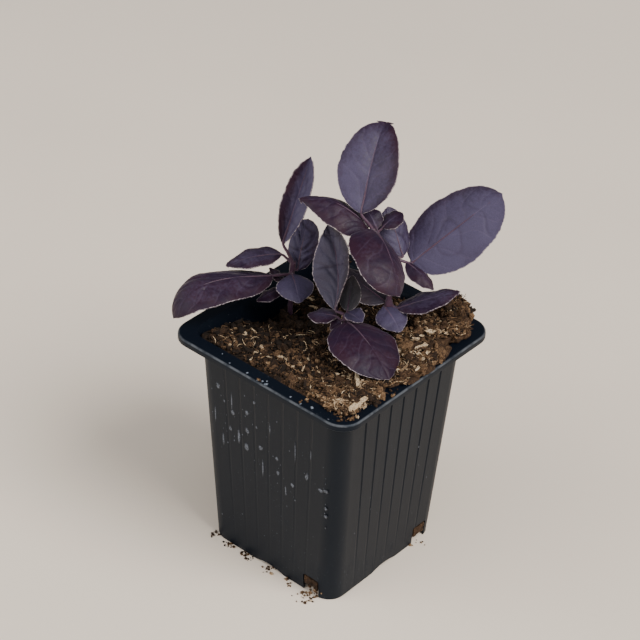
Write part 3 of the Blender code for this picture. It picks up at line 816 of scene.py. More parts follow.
def into_opening(x, y, reach):
    """A point of a plain square moved into the pot's opening, whose corners are round."""
    half = inside_half(POT_HEIGHT)
    straight = half - OPENING_CORNER + CLEARANCE
    edge = Vector((abs(x), abs(y))) * half / reach
    keep = 1
    if min(edge) > straight:
        centre = Vector((straight, straight))
        towards = edge.dot(centre)
        past = centre.length_squared - (half - straight) ** 2
        keep = (towards + sqrt(towards ** 2 - edge.length_squared * past)) / edge.length_squared
    return Vector((x, y)) * half * mix(1, keep, reach ** 6)


def compost_fill():
    """The fill: a fine grid with its grains, its edge drawn down inside the pot."""
    bm = bmesh.new()
    bmesh.ops.create_grid(bm, x_segments=COMPOST_GRID, y_segments=COMPOST_GRID, size=1)
    brim = inside_half(POT_HEIGHT)
    for vert in bm.verts:
        reach = max(abs(vert.co.x), abs(vert.co.y), 1e-6)
        x, y = into_opening(vert.co.x, vert.co.y, reach)
        z = compost_height(x, y) + grains(Vector((x, y, 0))) * (1 - reach ** 20)
        z -= COMPOST_EDGE * reach ** 12
        narrow = inside_half(min(z, POT_HEIGHT)) / brim
        x, y = Vector((x, y)) * mix(1, narrow, reach ** 6)
        vert.co = (x, y, z)
    edges = [edge for edge in bm.edges if edge.is_boundary]
    for drop in (SHOULDER_DROP, None):
        made = bmesh.ops.extrude_edge_only(bm, edges=edges)["geom"]
        for vert in new_verts(made):
            before = inside_half(min(vert.co.z, POT_HEIGHT))
            floor = FLOOR_RISE + WALL + CLEARANCE
            vert.co.z = min(FLARE_FOOT, vert.co.z - drop) if drop else floor
            vert.co.xy *= inside_half(vert.co.z) / before
        edges = new_edges(made)
    bmesh.ops.contextual_create(bm, geom=edges)
    return bm


def heap_relief(place, middle, normal):
    """How far a point of a heap's smooth form is moved by its lumps and grains."""
    return (place - middle) * HEAP_ROUGH * noise.noise(place / CRUMB_SIZE) + normal * grains(place)


def compost_heap(x, y, reach_x, reach_y, height):
    """Compost spilled over the opening. Its underside lies just off the rim."""
    base = Vector((x * MM, y * MM, POT_HEIGHT + CLEARANCE))
    middle = base - Vector((0, 0, HEAP_SINK * height * MM))
    size = Matrix.Diagonal((reach_x * MM, reach_y * MM, height * (1 + HEAP_SINK) * MM, 1))
    bm = bmesh.new()
    place = Matrix.Translation(middle) @ size
    bmesh.ops.create_icosphere(bm, subdivisions=HEAP_SPLITS, radius=1, matrix=place)
    bm.normal_update()
    for vert in bm.verts:
        vert.co += heap_relief(vert.co, middle, vert.normal)
    everything = bm.verts[:] + bm.edges[:] + bm.faces[:]
    cut = bmesh.ops.bisect_plane(bm, geom=everything, plane_co=base, plane_no=(0, 0, 1), clear_inner=True)
    bmesh.ops.contextual_create(bm, geom=new_edges(cut["geom_cut"]))
    return bm


def slot_plug(wall):
    """Compost that bulges into a drainage slot."""
    turn = Matrix.Rotation(wall * pi / 2, 4, "Z")
    inner = BASE_SIDE / 2 - PLUG_DEEP
    outer = BASE_SIDE / 2 + PLUG_PROUD
    low = FLOOR_RISE + WALL + 2 * CLEARANCE
    centre = Matrix.Translation((-SLOT_CENTRE, (inner + outer) / 2, (low + PLUG_TOP) / 2))
    size = Matrix.Diagonal((PLUG_WIDTH, outer - inner, PLUG_TOP - low, 1))
    bm = bmesh.new()
    bmesh.ops.create_cube(bm, size=1)
    bmesh.ops.subdivide_edges(bm, edges=bm.edges[:], cuts=PLUG_CUTS, use_grid_fill=True)
    bmesh.ops.transform(bm, matrix=turn @ centre @ size, verts=bm.verts[:])
    bm.normal_update()
    for vert in bm.verts:
        vert.co += vert.normal * (grains(vert.co) * 0.8 - 0.4 * MM)
    return bm


def compost_finish(settings):
    """Brown crumbs and paler fibre. Each bit's own tone, darkened by the painted shade at its place, is in
    the shade attribute.
    """
    nodes = new_finish("compost_bits")
    shade = nodes.plus(
        nodes.attribute("shade"), nodes.between(nodes.clouds(0.6 * MM), 0.3, 0.75, -0.14, 0.16),
        nodes.between(nodes.clouds(6 * MM, 2), 0.3, 0.7, -0.06, 0.06),
    )
    ramp = nodes.tree.nodes.new("ShaderNodeValToRGB")
    stops = ((0.08, settings.dark), (0.38, settings.brown), (0.68, settings.tan), (0.95, settings.cream))
    elements = ramp.color_ramp.elements
    while len(elements) < len(stops):
        elements.new(0.5)
    for element, (position, tint) in zip(elements, stops):
        element.position = position
        element.color = (*tint, 1)
    paint = nodes.join(ramp, {0: shade})[0]
    grain = nodes.plus(nodes.clouds(0.5 * MM, 3, (3, 0.4, 3)), nodes.clouds(0.25 * MM, 2))
    return nodes.finish(paint, 0.88, grain, 0.12 * MM, {"Specular IOR Level": 0.25})


def shadow(x, y):
    """How much darker the compost is painted at a place: painted shade under the plants and towards the
    left, and a little paler towards the right.
    """
    away = (at_front(*PAINTED_SHADE_CENTRE).xy - Vector((x, y))).length / PAINTED_SHADE_REACH
    left, right = clamp(0.5 - x / OPENING_SIDE), clamp(x / LIGHT_REACH + 0.35)
    return PAINTED_SHADE * exp(-away ** 2) + SHADE_LEFT * left - LIGHT_RIGHT * right


def add_shade(bm, shade_at):
    """Gives each point its shade, from 0 for dark to 1 for cream."""
    layer = bm.verts.layers.float.get("shade") or bm.verts.layers.float.new("shade")
    for vert in bm.verts:
        vert[layer] = shade_at(vert.co)


def make_compost(settings):
    whole = compost_fill()
    for heap in HEAPS:
        move_into(whole, compost_heap(*heap))
    for wall in range(4):
        move_into(whole, slot_plug(wall))
    for vert in whole.verts:
        vert.co.x = min(vert.co.x, cad_high[0])
    # Painted shade: the bed is darkened under the plants and towards the left
    add_shade(whole, lambda place: 0.3 - shadow(place.x, place.y) + 0.16 * noise.noise(place / (1.6 * MM)))
    bmesh.ops.recalc_face_normals(whole, faces=whole.faces[:])
    add_piece("compost_bed", whole, compost_finish(settings), "compost")


def template(bm):
    """A small shape kept as a mesh with a shade for each point, to be copied many times."""
    bmesh.ops.recalc_face_normals(bm, faces=bm.faces[:])
    add_shade(bm, lambda place: 0)
    mesh = bpy.data.meshes.new("template")
    bm.to_mesh(mesh)
    bm.free()
    return mesh


def crumb_shapes(subdivisions, rough):
    shapes = []
    for kind in range(CRUMB_KINDS):
        bm = bmesh.new()
        bmesh.ops.create_icosphere(bm, subdivisions=subdivisions, radius=1)
        for vert in bm.verts:
            vert.co *= 1 + rough * noise.noise(vert.co * 1.3 + Vector((kind * 5, 0, SEED)))
        shapes.append(template(bm))
    return shapes


def fibre_shapes():
    """Bent fibres of unit length, thinner at their ends."""
    shapes = []
    for kind in range(FIBRE_KINDS):
        bend = 0.03 + 0.02 * kind
        along = [i / FIBRE_BENDS - 0.5 for i in range(FIBRE_BENDS + 1)]
        path = [Vector((x, bend * sin(3 * x + kind), 0.03 * sin(5 * x + 2 * kind))) for x in along]
        radii = [FIBRE_RADIUS * (1 - 1.2 * abs(x)) for x in along]
        bm = bmesh.new()
        tube(bm, path, radii, 4)
        shapes.append(template(bm))
    return shapes


def splinter_shapes():
    """Split chips of wood of unit size, with torn ends."""
    shapes = []
    for kind in range(SPLINTER_KINDS):
        bm = bmesh.new()
        bmesh.ops.create_cube(bm, size=1)
        lengthwise = [e for e in bm.edges if abs(e.verts[0].co.x - e.verts[1].co.x) > 0.5]
        bmesh.ops.subdivide_edges(bm, edges=lengthwise, cuts=3)
        for vert in bm.verts:
            end = abs(vert.co.x) > 0.4
            bumps = [noise.noise(vert.co * 1.7 + Vector((kind * 3, SEED, axis * 10))) for axis in range(3)]
            vert.co += Vector(bumps) * Vector((0.5 if end else 0.1, 0.35, 0.35))
            vert.co.yz *= 0.75 if end else 1
        shapes.append(template(bm))
    return shapes


def copies(templates, places, chance):
    """One bmesh with a copy of one of the templates at each place, in its own shade less the painted shade
    there.
    """
    whole = bmesh.new()
    shapes = [(mesh, np.array([vert.co for vert in mesh.vertices])) for mesh in templates]
    for matrix, shade in places:
        mesh, points = chance.choice(shapes)
        matrix = np.array(matrix)
        points = np.clip(points @ matrix[:3, :3].T + matrix[:3, 3], cad_low, cad_high)
        shade -= shadow(matrix[0, 3], matrix[1, 3]) * (PALE_SHADOW if shade > PALE else 1)
        mesh.vertices.foreach_set("co", points.ravel())
        mesh.attributes["shade"].data.foreach_set("value", np.full(len(points), shade))
        whole.from_mesh(mesh)
    for mesh in templates:
        bpy.data.meshes.remove(mesh)
    return whole


def spot_on_heap(chance):
    """A random place on a heap, or None where it is buried or past the rim."""
    x, y, reach_x, reach_y, height = chance.choice(HEAPS)
    out = Vector((chance.gauss(0, 1), chance.gauss(0, 1), abs(chance.gauss(0, 1)))).normalized()
    middle = Vector((x, y, (POT_HEIGHT + CLEARANCE) / MM - HEAP_SINK * height)) * MM
    reach = Vector((reach_x, reach_y, height * (1 + HEAP_SINK))) * MM
    spot = middle + out * reach
    slope = Vector([side / far for side, far in zip(out, reach)]).normalized()
    spot += heap_relief(spot, middle, slope)
    buried = spot.z < max(surface_height(spot.x, spot.y) - MM, POT_HEIGHT + CLEARANCE)
    past_rim = max(abs(spot.x), abs(spot.y)) > HEAP_LIMIT or spot.x + spot.y > HEAP_CORNER_LIMIT
    return None if buried or past_rim else spot


def spots_on_compost(count, chance, spare=1):
    """Random places on the heaps and on the compost. The latter keep spare mm away from the wall."""
    found = []
    while len(found) < count:
        if chance.random() < HEAP_SHARE:
            spot = spot_on_heap(chance)
            if spot:
                found.append(spot)
            continue
        x, y = [chance.uniform(-SPOT_REACH, SPOT_REACH) * MM for _ in range(2)]
        top = surface_height(x, y)
        straight = inside_half(min(top, POT_HEIGHT)) - spare * MM - OPENING_CORNER
        past = Vector((max(abs(x) - straight, 0), max(abs(y) - straight, 0))).length
        if past < OPENING_CORNER:
            found.append(Vector((x, y, top + grains(Vector((x, y, 0))))))
    return found


def lying(place, turns, size):
    """Where a bit lies. turns are its heading, its tilt and its roll."""
    heading, tilt, roll = turns
    turned = Euler((roll, tilt, heading), "XYZ").to_matrix().to_4x4()
    return Matrix.Translation(place) @ turned @ Matrix.Diagonal((*size, 1))


def any_turns(chance):
    return [chance.uniform(0, 2 * pi) for _ in range(3)]


def make_crumbs(settings, finish):
    """The small crumbs on the compost, and those spilled on the rim and the ground."""
    chance = random.Random(SEED + 1)
    places = []
    for spot in spots_on_compost(settings.crumbs, chance):
        radius = min(CRUMB_RADIUS * exp(abs(chance.gauss(0, 0.55))), CRUMB_LARGEST)
        size = [radius * chance.uniform(0.7, 1.35) for _ in range(3)]
        spot.z += radius * chance.uniform(-0.1, 0.6)
        turns = any_turns(chance)
        shade = chance.gauss(0.3, 0.2) + (0.08 if radius < 0.5 * MM else 0)
        places.append((lying(spot, turns, size), clamp(shade, 0.02, 0.9)))
    for x, y, z, reach, count in SPILLS:
        for _ in range(count):
            radius = chance.uniform(0.2, 0.75) * MM
            spot = Vector([middle + chance.gauss(0, reach * 0.6) for middle in (x, y)] + [z]) * MM
            if z > RIM_SPILL:
                spot.xy = [clamp(side, -SPILL_LIMIT, SPILL_LIMIT) for side in spot.xy]
            spot.z += radius * 0.45
            size = [radius * chance.uniform(0.7, 1.3) for _ in range(3)]
            turns = any_turns(chance)
            # Crumbs on the ground are painted paler than those on the rim: painted light that makes up for
            # the little light reaching the pot's foot
            shade = chance.gauss(0.4 if z > RIM_SPILL else 0.52, 0.15)
            places.append((lying(spot, turns, size), clamp(shade)))
    add_piece("compost_crumbs", copies(crumb_shapes(1, 0.9), places, chance), finish)


def make_lumps(finish):
    """The larger clods and pieces of bark."""
    chance = random.Random(SEED + 2)
    places = []
    for spot in spots_on_compost(LUMPS, chance, 2.2):
        radius = chance.uniform(0.95, 1.6) ** 2 * MM
        size = (radius * chance.uniform(0.9, 1.5), radius * chance.uniform(0.6, 1), radius * 0.6)
        turns = (chance.uniform(0, 2 * pi), chance.gauss(0, 0.4), chance.gauss(0, 0.4))
        places.append((lying(spot, turns, size), clamp(chance.gauss(0.36, 0.2), 0.05, 0.85)))
    for x, y, radius in CLODS:
        spot = on_surface(x, y, 0.3 * radius)
        places.append((lying(spot, any_turns(chance), Vector((1.1, 0.9, 0.8)) * radius * MM), 0.5))
    add_piece("compost_lumps", copies(crumb_shapes(3, 1), places, chance), finish, sharp=40)


def make_fibres(settings, finish):
    """Thin bent fibres, most of them lying almost flat."""
    chance = random.Random(SEED + 3)
    places = []
    for spot in spots_on_compost(settings.fibres, chance, 2.4):
        long = chance.uniform(1, 2.4) ** 2 * MM
        thick = chance.uniform(3, 11) * MM
        spot.z += chance.uniform(0.2, 0.9) * MM
        turns = (chance.uniform(0, 2 * pi), chance.gauss(0, 0.25), chance.uniform(0, 2 * pi))
        shade = clamp(chance.gauss(0.54, 0.2), 0.1, 0.95)
        places.append((lying(spot, turns, (long, thick, thick)), shade))
    add_piece("compost_fibres", copies(fibre_shapes(), places, chance), finish)


def make_chips(settings, finish):
    """Pale chips of wood: the coarse ones in their own places, the splinters anywhere."""
    chance = random.Random(SEED + 4)
    places = []
    for i, (x, y, turn, long, wide) in enumerate(CHIPS):
        pale = i < PALE_CHIPS
        spot = on_surface(x, y, 1 if pale else 0.6)
        turns = (radians(turn), chance.gauss(0, 0.05), chance.gauss(0, 0.15))
        shade = chance.uniform(0.8, 0.92) if pale else chance.uniform(0.55, 0.8)
        places.append((lying(spot, turns, (long * MM, wide * 0.8 * MM, CHIP_THICK)), shade))
    for spot in spots_on_compost(settings.splinters, chance, 2):
        long = chance.uniform(1, 2.1) ** 2 * MM
        size = (long, chance.uniform(0.4, 1.5) * MM, chance.uniform(0.3, 0.8) * MM)
        spot.z += 0.4 * MM
        turns = (chance.uniform(0, 2 * pi), chance.gauss(0, 0.3), chance.gauss(0, 0.4))
        fresh = chance.random() < FRESH_SPLINTERS
        shade = chance.uniform(0.7, 0.97) if fresh else chance.uniform(0.15, 0.62)
        places.append((lying(spot, turns, size), shade))
    add_piece("compost_chips", copies(splinter_shapes(), places, chance), finish, sharp=35)


# Plants


def at_front(right, away, up):
    """A point from its distances in millimetres, as seen from the pot's front corner."""
    return Matrix.Rotation(FRONT_TURN, 3, "Z") @ Vector((right, away, up)) * MM


def heading_vector(heading, rise):
    turn, up = radians(heading) + FRONT_TURN, radians(rise)
    return Vector((cos(up) * cos(turn), cos(up) * sin(turn), sin(up)))


def leaf(node, heading, rise, length, width, stalk, **more):
    """One leaf. node is the height on the stem that it grows from, stalk its length, heading and rise.

    Headings are degrees: 0 right, 90 away, 180 left, 270 to the front. rise is the angle up.
    arch and yaw are how far the midrib has turned by its tip, and bend says how late it turns.
    fold raises both halves from the midrib, cup turns their margins further, roll tips the whole
    blade. belly is where along the blade it is widest, and foot how slowly it widens. tone is how
    much violet it shows: partly the blade's own colour, and partly a painted sheen of the sky and
    painted light and shade for a leaf that lies lit or in the shade of others. lean is how much more
    on its left half, and tipward how much more at the tip: painted light and shade across the blade.
    cast is how green it is. blister is how far the blade swells between its veins, in mm, and crease
    how deep its creases are and how much painted shade lies in them.
    """
    made = {
        "node": node, "heading": heading, "rise": rise, "length": length, "width": width, "stalk": stalk,
        "arch": 0, "bend": 1, "yaw": 0, "roll": 0, "fold": 0, "cup": -30, "wave": 0.35,
        "belly": 0.45, "foot": 0.6,
        "tone": 0.35, "lean": 0, "tipward": 0, "cast": 0, "blister": 0.4, "crease": 0.5,
    }
    made.update(more)
    return made


TALL_STEM = [(21, 5, 92), (21.2, 5, 112), (20.5, 5, 132), (14, 5, 145)]
TALL_LEAVES = [
    leaf(144.5, 78, 51, 39, 24.5, (9.5, 165, 52), arch=-60, bend=4, yaw=-9, roll=-4, fold=25, cup=-20,
         belly=0.44, foot=0.62, tone=0.6, lean=0.2, tipward=-0.45, blister=0.1, crease=0.15),
    leaf(144.7, 291, 26, 37, 30, (2, 170, 50), arch=-90, roll=-30, fold=-10, cup=-35, belly=0.52,
         foot=0.5, tone=0.05, blister=0.12, crease=0.35),
    leaf(144.2, 165, 58, 33, 21, (2, 165, 10), arch=-84, fold=-10, cup=-40, belly=0.4, foot=0.5,
         tone=0.08, tipward=0.25, blister=0.3),
    leaf(144.1, 125, 40, 10, 9, (2, 60, 50), arch=-20, fold=20, cup=-20),
    leaf(143.8, 25, 50, 10, 10, (3.5, 20, 50), arch=-40, cup=-20, belly=0.55),
    leaf(133, 21, 37, 43.2, 28.6, (8.8, 0, -8), arch=-3, roll=30, fold=-8, cup=0, belly=0.46,
         foot=0.42, tone=0.85, lean=-0.2, blister=0.15, crease=0.5),
    leaf(133.4, 122, 52, 20, 15, (5.5, 5, 5), fold=-5, belly=0.5, tone=0.8, crease=1, blister=0.6),
    leaf(132.6, 318, -5, 16, 9.5, (6.5, 0, -4), arch=-35, fold=-10, tone=0.2),
    leaf(112, 5, 22, 25.5, 14, (3.5, 330, -10), arch=-8, fold=5, tone=0.45),
    leaf(112.5, 147, 19, 24, 17, (1, 147, 0), arch=-5, fold=5, tone=0, cast=0.2),
    leaf(111.5, 300, 0, 14, 13, (2, 200, 0), arch=-35, roll=10, fold=5, tone=1),
]

LEFT_STEM = [(-17, 19, 84), (-17, 20, 100), (-17, 21.7, 112), (-16.5, 21.7, 118)]
LEFT_LEAVES = [
    leaf(112, 208, 13, 50, 23.5, (8, 200, 10), arch=-112, bend=3, fold=-3, belly=0.5, foot=0.55,
         tone=0.2, tipward=-0.1, blister=0.5, crease=0.8),
    leaf(117.6, 58, 60, 35.5, 12.5, (9.5, 165, 62), roll=20, fold=35, cup=0, belly=0.52, foot=0.7,
         tone=0.85, lean=-0.95),
    leaf(116, 74, 64, 21, 13, (2.5, 345, -40), arch=-20, cup=-40, belly=0.55, foot=0.45, tone=0.9,
         lean=0.25, blister=2.4, crease=1.3),
    leaf(117, 187, 4, 23, 14, (6, 165, 40), arch=-34, fold=10, tone=0.45, blister=0.9),
    leaf(114, 285, 5, 15, 16, (2, 270, 0), arch=-50, tone=1, tipward=0.3),
    leaf(109, 205, -10, 11, 8, (6, 230, 0), arch=-20),
    leaf(109.6, 150, 40, 8, 6, (3, 200, 0), arch=-20),
]

FRONT_STEM = [(5, -9.3, 92), (5, -9, 108), (4.9, -7.8, 115)]
FRONT_LEAVES = [
    leaf(114, 304, 7, 32, 30, (2, 280, 0), arch=-47, roll=-8, belly=0.42, foot=0.42, tone=0.04,
         blister=0.35, crease=0.4),
    leaf(114.6, 72, 60, 33, 19, (5, 165, 20), yaw=70, roll=-44, fold=35, cup=0, belly=0.48, tone=1,
         lean=0.5, cast=0.25, blister=1.1, crease=1),
    leaf(114.3, 80, 50, 14, 9, (2, 80, 45), fold=8, tone=0.3, cast=0.5),
    leaf(114.8, 325, 5, 8, 9, (1.5, 90, 30), arch=-30, fold=10, cup=0, tone=0.95),
    leaf(114, 205, -25, 6, 5, (2, 205, -30), arch=-20, fold=20, cup=0, tone=0.15),
    leaf(111, 165, 5, 12, 11, (5, 165, 40), arch=-30, cup=-20, tone=0.4),
]

PLANTS = {
    "basil_tall": (TALL_STEM, TALL_LEAVES),
    "basil_left": (LEFT_STEM, LEFT_LEAVES),
    "basil_front": (FRONT_STEM, FRONT_LEAVES),
}


def smooth_path(points, step):
    """Points every step along a smooth curve through the given ones."""
    path = []
    ends = [2 * points[0] - points[1], *points, 2 * points[-1] - points[-2]]
    for before, start, end, after in zip(ends, ends[1:], ends[2:], ends[3:]):
        count = max(ceil((end - start).length / step), 1)
        for i in range(count):
            t = i / count
            path.append(
                start + (end - before) * (t / 2)
                + (2 * before - 5 * start + 4 * end - after) * (t * t / 2)
                + (3 * start - before - 3 * end + after) * (t ** 3 / 2)
            )
    return path + [points[-1]]


def point_at_height(path, z):
    for low, high in zip(path, path[1:]):
        if z <= high.z:
            return low.lerp(high, max(0, (z - low.z) / (high.z - low.z)))
    return path[-1]


def midrib(shape, base):
    """Places along the midrib, each with its forward, side and upward directions."""
    place = base.copy()
    frames = []
    for i in range(MIDRIB_STEPS + 1):
        part = i / MIDRIB_STEPS
        rise = shape["rise"] + shape["arch"] * part ** shape["bend"]
        forward = heading_vector(shape["heading"] + shape["yaw"] * part, rise)
        level = heading_vector(shape["heading"] + shape["yaw"] * part + 90, 0)
        side = Matrix.Rotation(radians(shape["roll"]), 3, forward) @ level
        frames.append((place.copy(), forward, side, forward.cross(side)))
        place += forward * (shape["length"] * MM / MIDRIB_STEPS)
    return frames


def frame_at(frames, along):
    """The midrib's place, side and upward directions between two of its steps."""
    spot = clamp(along) * MIDRIB_STEPS
    low = min(int(spot), MIDRIB_STEPS - 1)
    place, _, side, up = [a.lerp(b, spot - low) for a, b in zip(frames[low], frames[low + 1])]
    return place, side.normalized(), up.normalized()


def grown(shape):
    """How full-grown a leaf is, 1 for a long one."""
    return min(1, shape["length"] / FULL_LENGTH)


def window(along, out):
    """1 well inside a blade, 0 at its foot, tip and margin."""
    return (1 - out ** 4) * sqrt(max(4 * along * (1 - along), 0))


def half_width(shape, part):
    """Half the blade's width at a share of its length. It ends in a small point."""
    rise, belly = shape["foot"], shape["belly"]
    fall = rise * (1 - belly) / belly
    full = min(part / (1 - APEX / 3), 1)
    outline = full ** rise * (1 - full) ** fall / (belly ** rise * (1 - belly) ** fall)
    point = APEX_WIDTH * (1 - part) / APEX if part > 1 - APEX else 0
    return shape["width"] / 2 * MM * max(outline, point)


def blade_point(shape, frames, along, across, tooth):
    """A point of the blade's upper face. along runs 0 to 1 and across -1 to 1."""
    place, side, up = frame_at(frames, along)
    out = abs(across)
    reach = half_width(shape, along)
    reach += tooth * out ** 8 * min(1, reach / (3 * MM))
    turn, cup = radians(shape["fold"]), radians(shape["cup"])
    flat = lift = 0
    for k in range(CUP_STEPS):
        slope = turn + cup * out * (k + 0.5) / CUP_STEPS
        flat += cos(slope) * out / CUP_STEPS
        lift += sin(slope) * out / CUP_STEPS
    swell = 4 * along * (1 - along) * out * out
    ruffle = shape["wave"] * MM * swell * sin(2 * pi * BLADE_WAVES * along + 1.5 * across)
    return place + side * (reach * flat * (1 if across > 0 else -1)) + up * (reach * lift + ruffle)


def vein_phase(along, across, number):
    """Where a point lies in the row of side veins: a whole number is on a vein."""
    out = abs(across)
    lean = VEIN_LEAN * out * (1 - 0.3 * out)
    wander = 0.6 * noise.noise(Vector((along * 4, across * 1.6, number * 3.7)))
    return SIDE_VEINS * (along - lean) + (0.35 if across > 0 else 0) + wander + 10


def blade_relief(shape, settings, along, across, phase, place):
    """How far the blade's face stands out of its smooth form at a point."""
    out = abs(across)
    reach = half_width(shape, along)
    near = abs(phase - round(phase))
    lumps = 0.75 + 0.7 * noise.noise(place / BLISTER_PATCH)
    found = shape["blister"] * MM * lumps * (sin(pi * near) ** 0.7 - 0.5)
    found -= settings.vein_depth * exp(-(near / VEIN_NARROW) ** 2)
    found -= shape["crease"] * CREASE_DEPTH * crease(place)
    found *= min(1, out / 0.2) * window(along, out)
    found -= settings.rib_depth * (1 - 0.7 * along) * exp(-(reach * out / RIB_NARROW) ** 2)
    found += WARP_DEPTH * noise.noise(place / WARP_PATCH)
    return found * grown(shape) + GRAIN_DEPTH * noise.noise(place / GRAIN_PATCH)


def crease(place):
    """1 on the soft creases that wander over a blade, 0 away from them."""
    return exp(-(noise.noise(place / CREASE_PATCH) / CREASE_NARROW) ** 2)


def teeth(settings, along, across, number):
    """The margin's low, uneven teeth."""
    saw = (along * TEETH + 0.4 * noise.noise(Vector((along * 9, number, across)))) % 1
    uneven = noise.noise(Vector((along * 14, number * 2.3, across)))
    return settings.tooth * (saw ** 2 - 0.4) + 0.25 * MM * uneven


def make_blade(shape, frames, settings, number):
    """One leaf blade with its veins, swellings and teeth."""
    rows = max(20, round(shape["length"] * ROW_DENSITY))
    columns = 2 * max(8, round(shape["width"] * COLUMN_DENSITY))
    bm = bmesh.new()
    blade = bm.verts.layers.float_vector.new("blade")
    look = bm.verts.layers.float_vector.new("look")
    # The dark attribute holds painted shade for the blade's creases
    dark = bm.verts.layers.float.new("dark")
    outwards = bm.verts.layers.float_vector.new("outwards")
    bmesh.ops.create_grid(bm, x_segments=rows, y_segments=columns, size=0.5)
    places = [(0.5 + 0.5 * sin(pi * vert.co.x), 2 * vert.co.y) for vert in bm.verts]
    for vert, (along, across) in zip(bm.verts, places):
        reach = half_width(shape, along)
        edge = min((1 - abs(across)) * reach, (1 - along) * shape["length"] * MM)
        from_rib = abs(across) * reach / MM + 0.45 * along ** 2
        vert[blade] = (vein_phase(along, across, number), from_rib, edge / MM)
        # Painted light and shade: the violet is raised on the half and the end of each blade that lie lit
        tone = shape["tone"] + shape["lean"] * across + shape["tipward"] * (along - 0.5)
        vert[look] = (tone, shape["cast"], 0)
        tooth = teeth(settings, along, 1 if across > 0 else -1, number) * grown(shape)
        vert.co = blade_point(shape, frames, along, across, tooth)
        # Painted shade in the creases
        vert[dark] = shape["crease"] * window(along, abs(across)) * crease(vert.co)
    bm.normal_update()
    normals = [vert.normal.copy() for vert in bm.verts]
    for vert, normal, (along, across) in zip(bm.verts, normals, places):
        if along > TIP_PART:
            normal = vert[outwards] = frame_at(frames, along)[2]
        relief = blade_relief(shape, settings, along, across, vert[blade][0], vert.co)
        vert.co += normal * (relief - (SOURCE_THICK - settings.thickness) / 2)
    bmesh.ops.remove_doubles(bm, verts=bm.verts[:], dist=0.01 * MM)
    bm.normal_update()
    for vert in bm.verts:
        if not Vector(vert[outwards]).length:
            vert[outwards] = vert.normal
    made = bmesh.ops.extrude_face_region(bm, geom=bm.faces[:], use_keep_orig=True)["geom"]
    for vert in new_verts(made):
        vert.co -= Vector(vert[outwards]) * settings.thickness
        tone, cast, _ = vert[look]
        vert[look] = (tone, cast, 1)
    bm.verts.layers.float_vector.remove(outwards)
    return bm


def tube(bm, path, radii, sides, square=0):
    """A closed tube along the path, extruded ring by ring from a circle. square makes it four-cornered."""
    layer = bm.verts.layers.float.new("turn")
    ring = bmesh.ops.create_circle(bm, cap_ends=True, segments=sides, radius=1)["verts"]
    for vert in ring:
        vert[layer] = atan2(vert.co.y, vert.co.x)
    edges = list({edge for vert in ring for edge in vert.link_edges})
    across = Vector((0, 1, 0)).cross(path[1] - path[0]).normalized()
    for i, point in enumerate(path):
        along = (path[min(i + 1, len(path) - 1)] - path[max(i - 1, 0)]).normalized()
        across = (across - along * across.dot(along)).normalized()
        up = along.cross(across)
        if i:
            made = bmesh.ops.extrude_edge_only(bm, edges=edges)["geom"]
            ring, edges = new_verts(made), new_edges(made)
        for vert in ring:
            turn = vert[layer]
            reach = radii[i] * (1 + square * cos(4 * turn))
            vert.co = point + reach * (cos(turn) * across + sin(turn) * up)
    bmesh.ops.contextual_create(bm, geom=edges)


def swelling(z, nodes):
    """How much thicker the stem is near the heights that its leaves grow from."""
    return sum(NODE_SWELL * exp(-((z - node * MM) / NODE_REACH) ** 2) for node in nodes)


def make_stem(path, leaves):
    """A four-cornered stem, a little thicker where its leaves grow."""
    nodes = sorted({shape["node"] for shape in leaves})
    radii = []
    for i, point in enumerate(path):
        radii.append(mix(STEM_ROOT, STEM_TIP, i / (len(path) - 1)) * (1 + swelling(point.z, nodes)))
    bm = bmesh.new()
    tube(bm, path, radii, STEM_SIDES, STEM_SQUARE)
    return bm


def make_petiole(shape, frames, foot):
    """The leaf's stalk, which runs on under the blade as its midrib."""
    points = [foot, foot.lerp(frames[0][0], 0.5)]
    for step in RIB_STEPS:
        place, _, _, up = frames[step]
        points.append(place - up * STALK_UNDER)
    path = smooth_path(points, STALK_STEP)
    size = mix(SMALL_STALK, 1, grown(shape))
    bare = (points[1] - points[0]).length * 2
    gone, radii = 0, []
    for i, point in enumerate(path):
        gone += (point - path[max(i - 1, 0)]).length
        on_blade = clamp((gone - bare) / (RIB_SHARE * shape["length"] * MM))
        on_stalk = clamp(gone / bare)
        radius = mix(mix(PETIOLE_ROOT, PETIOLE_BLADE, on_stalk), RIB_END, on_blade ** 0.6)
        radii.append(size * radius)
    bm = bmesh.new()
    tube(bm, path, radii, PETIOLE_SIDES)
    return bm


def hair_shape():
    bm = bmesh.new()
    bmesh.ops.create_cone(
        bm, cap_ends=True, segments=3, radius1=0.5, radius2=0.05, depth=1,
        matrix=Matrix.Translation((0, 0, 0.4)),
    )
    return template(bm)


def hair_places(bm, count, chance, long, choose=None):
    """Places and directions for fine hairs that stand out of a surface."""
    found = []
    verts = [vert for vert in bm.verts if choose is None or choose(vert)]
    for _ in range(min(count, 4 * len(verts))):
        vert = chance.choice(verts)
        out = vert.normal + HAIR_SPREAD * Vector([chance.gauss(0, 1) for _ in range(3)])
        spin = out.to_track_quat("Z", "Y").to_matrix().to_4x4()
        size = Matrix.Diagonal((HAIR_THICK, HAIR_THICK, long * chance.uniform(0.5, 1.2), 1))
        found.append((Matrix.Translation(vert.co) @ spin @ size, 0.5))
    return found


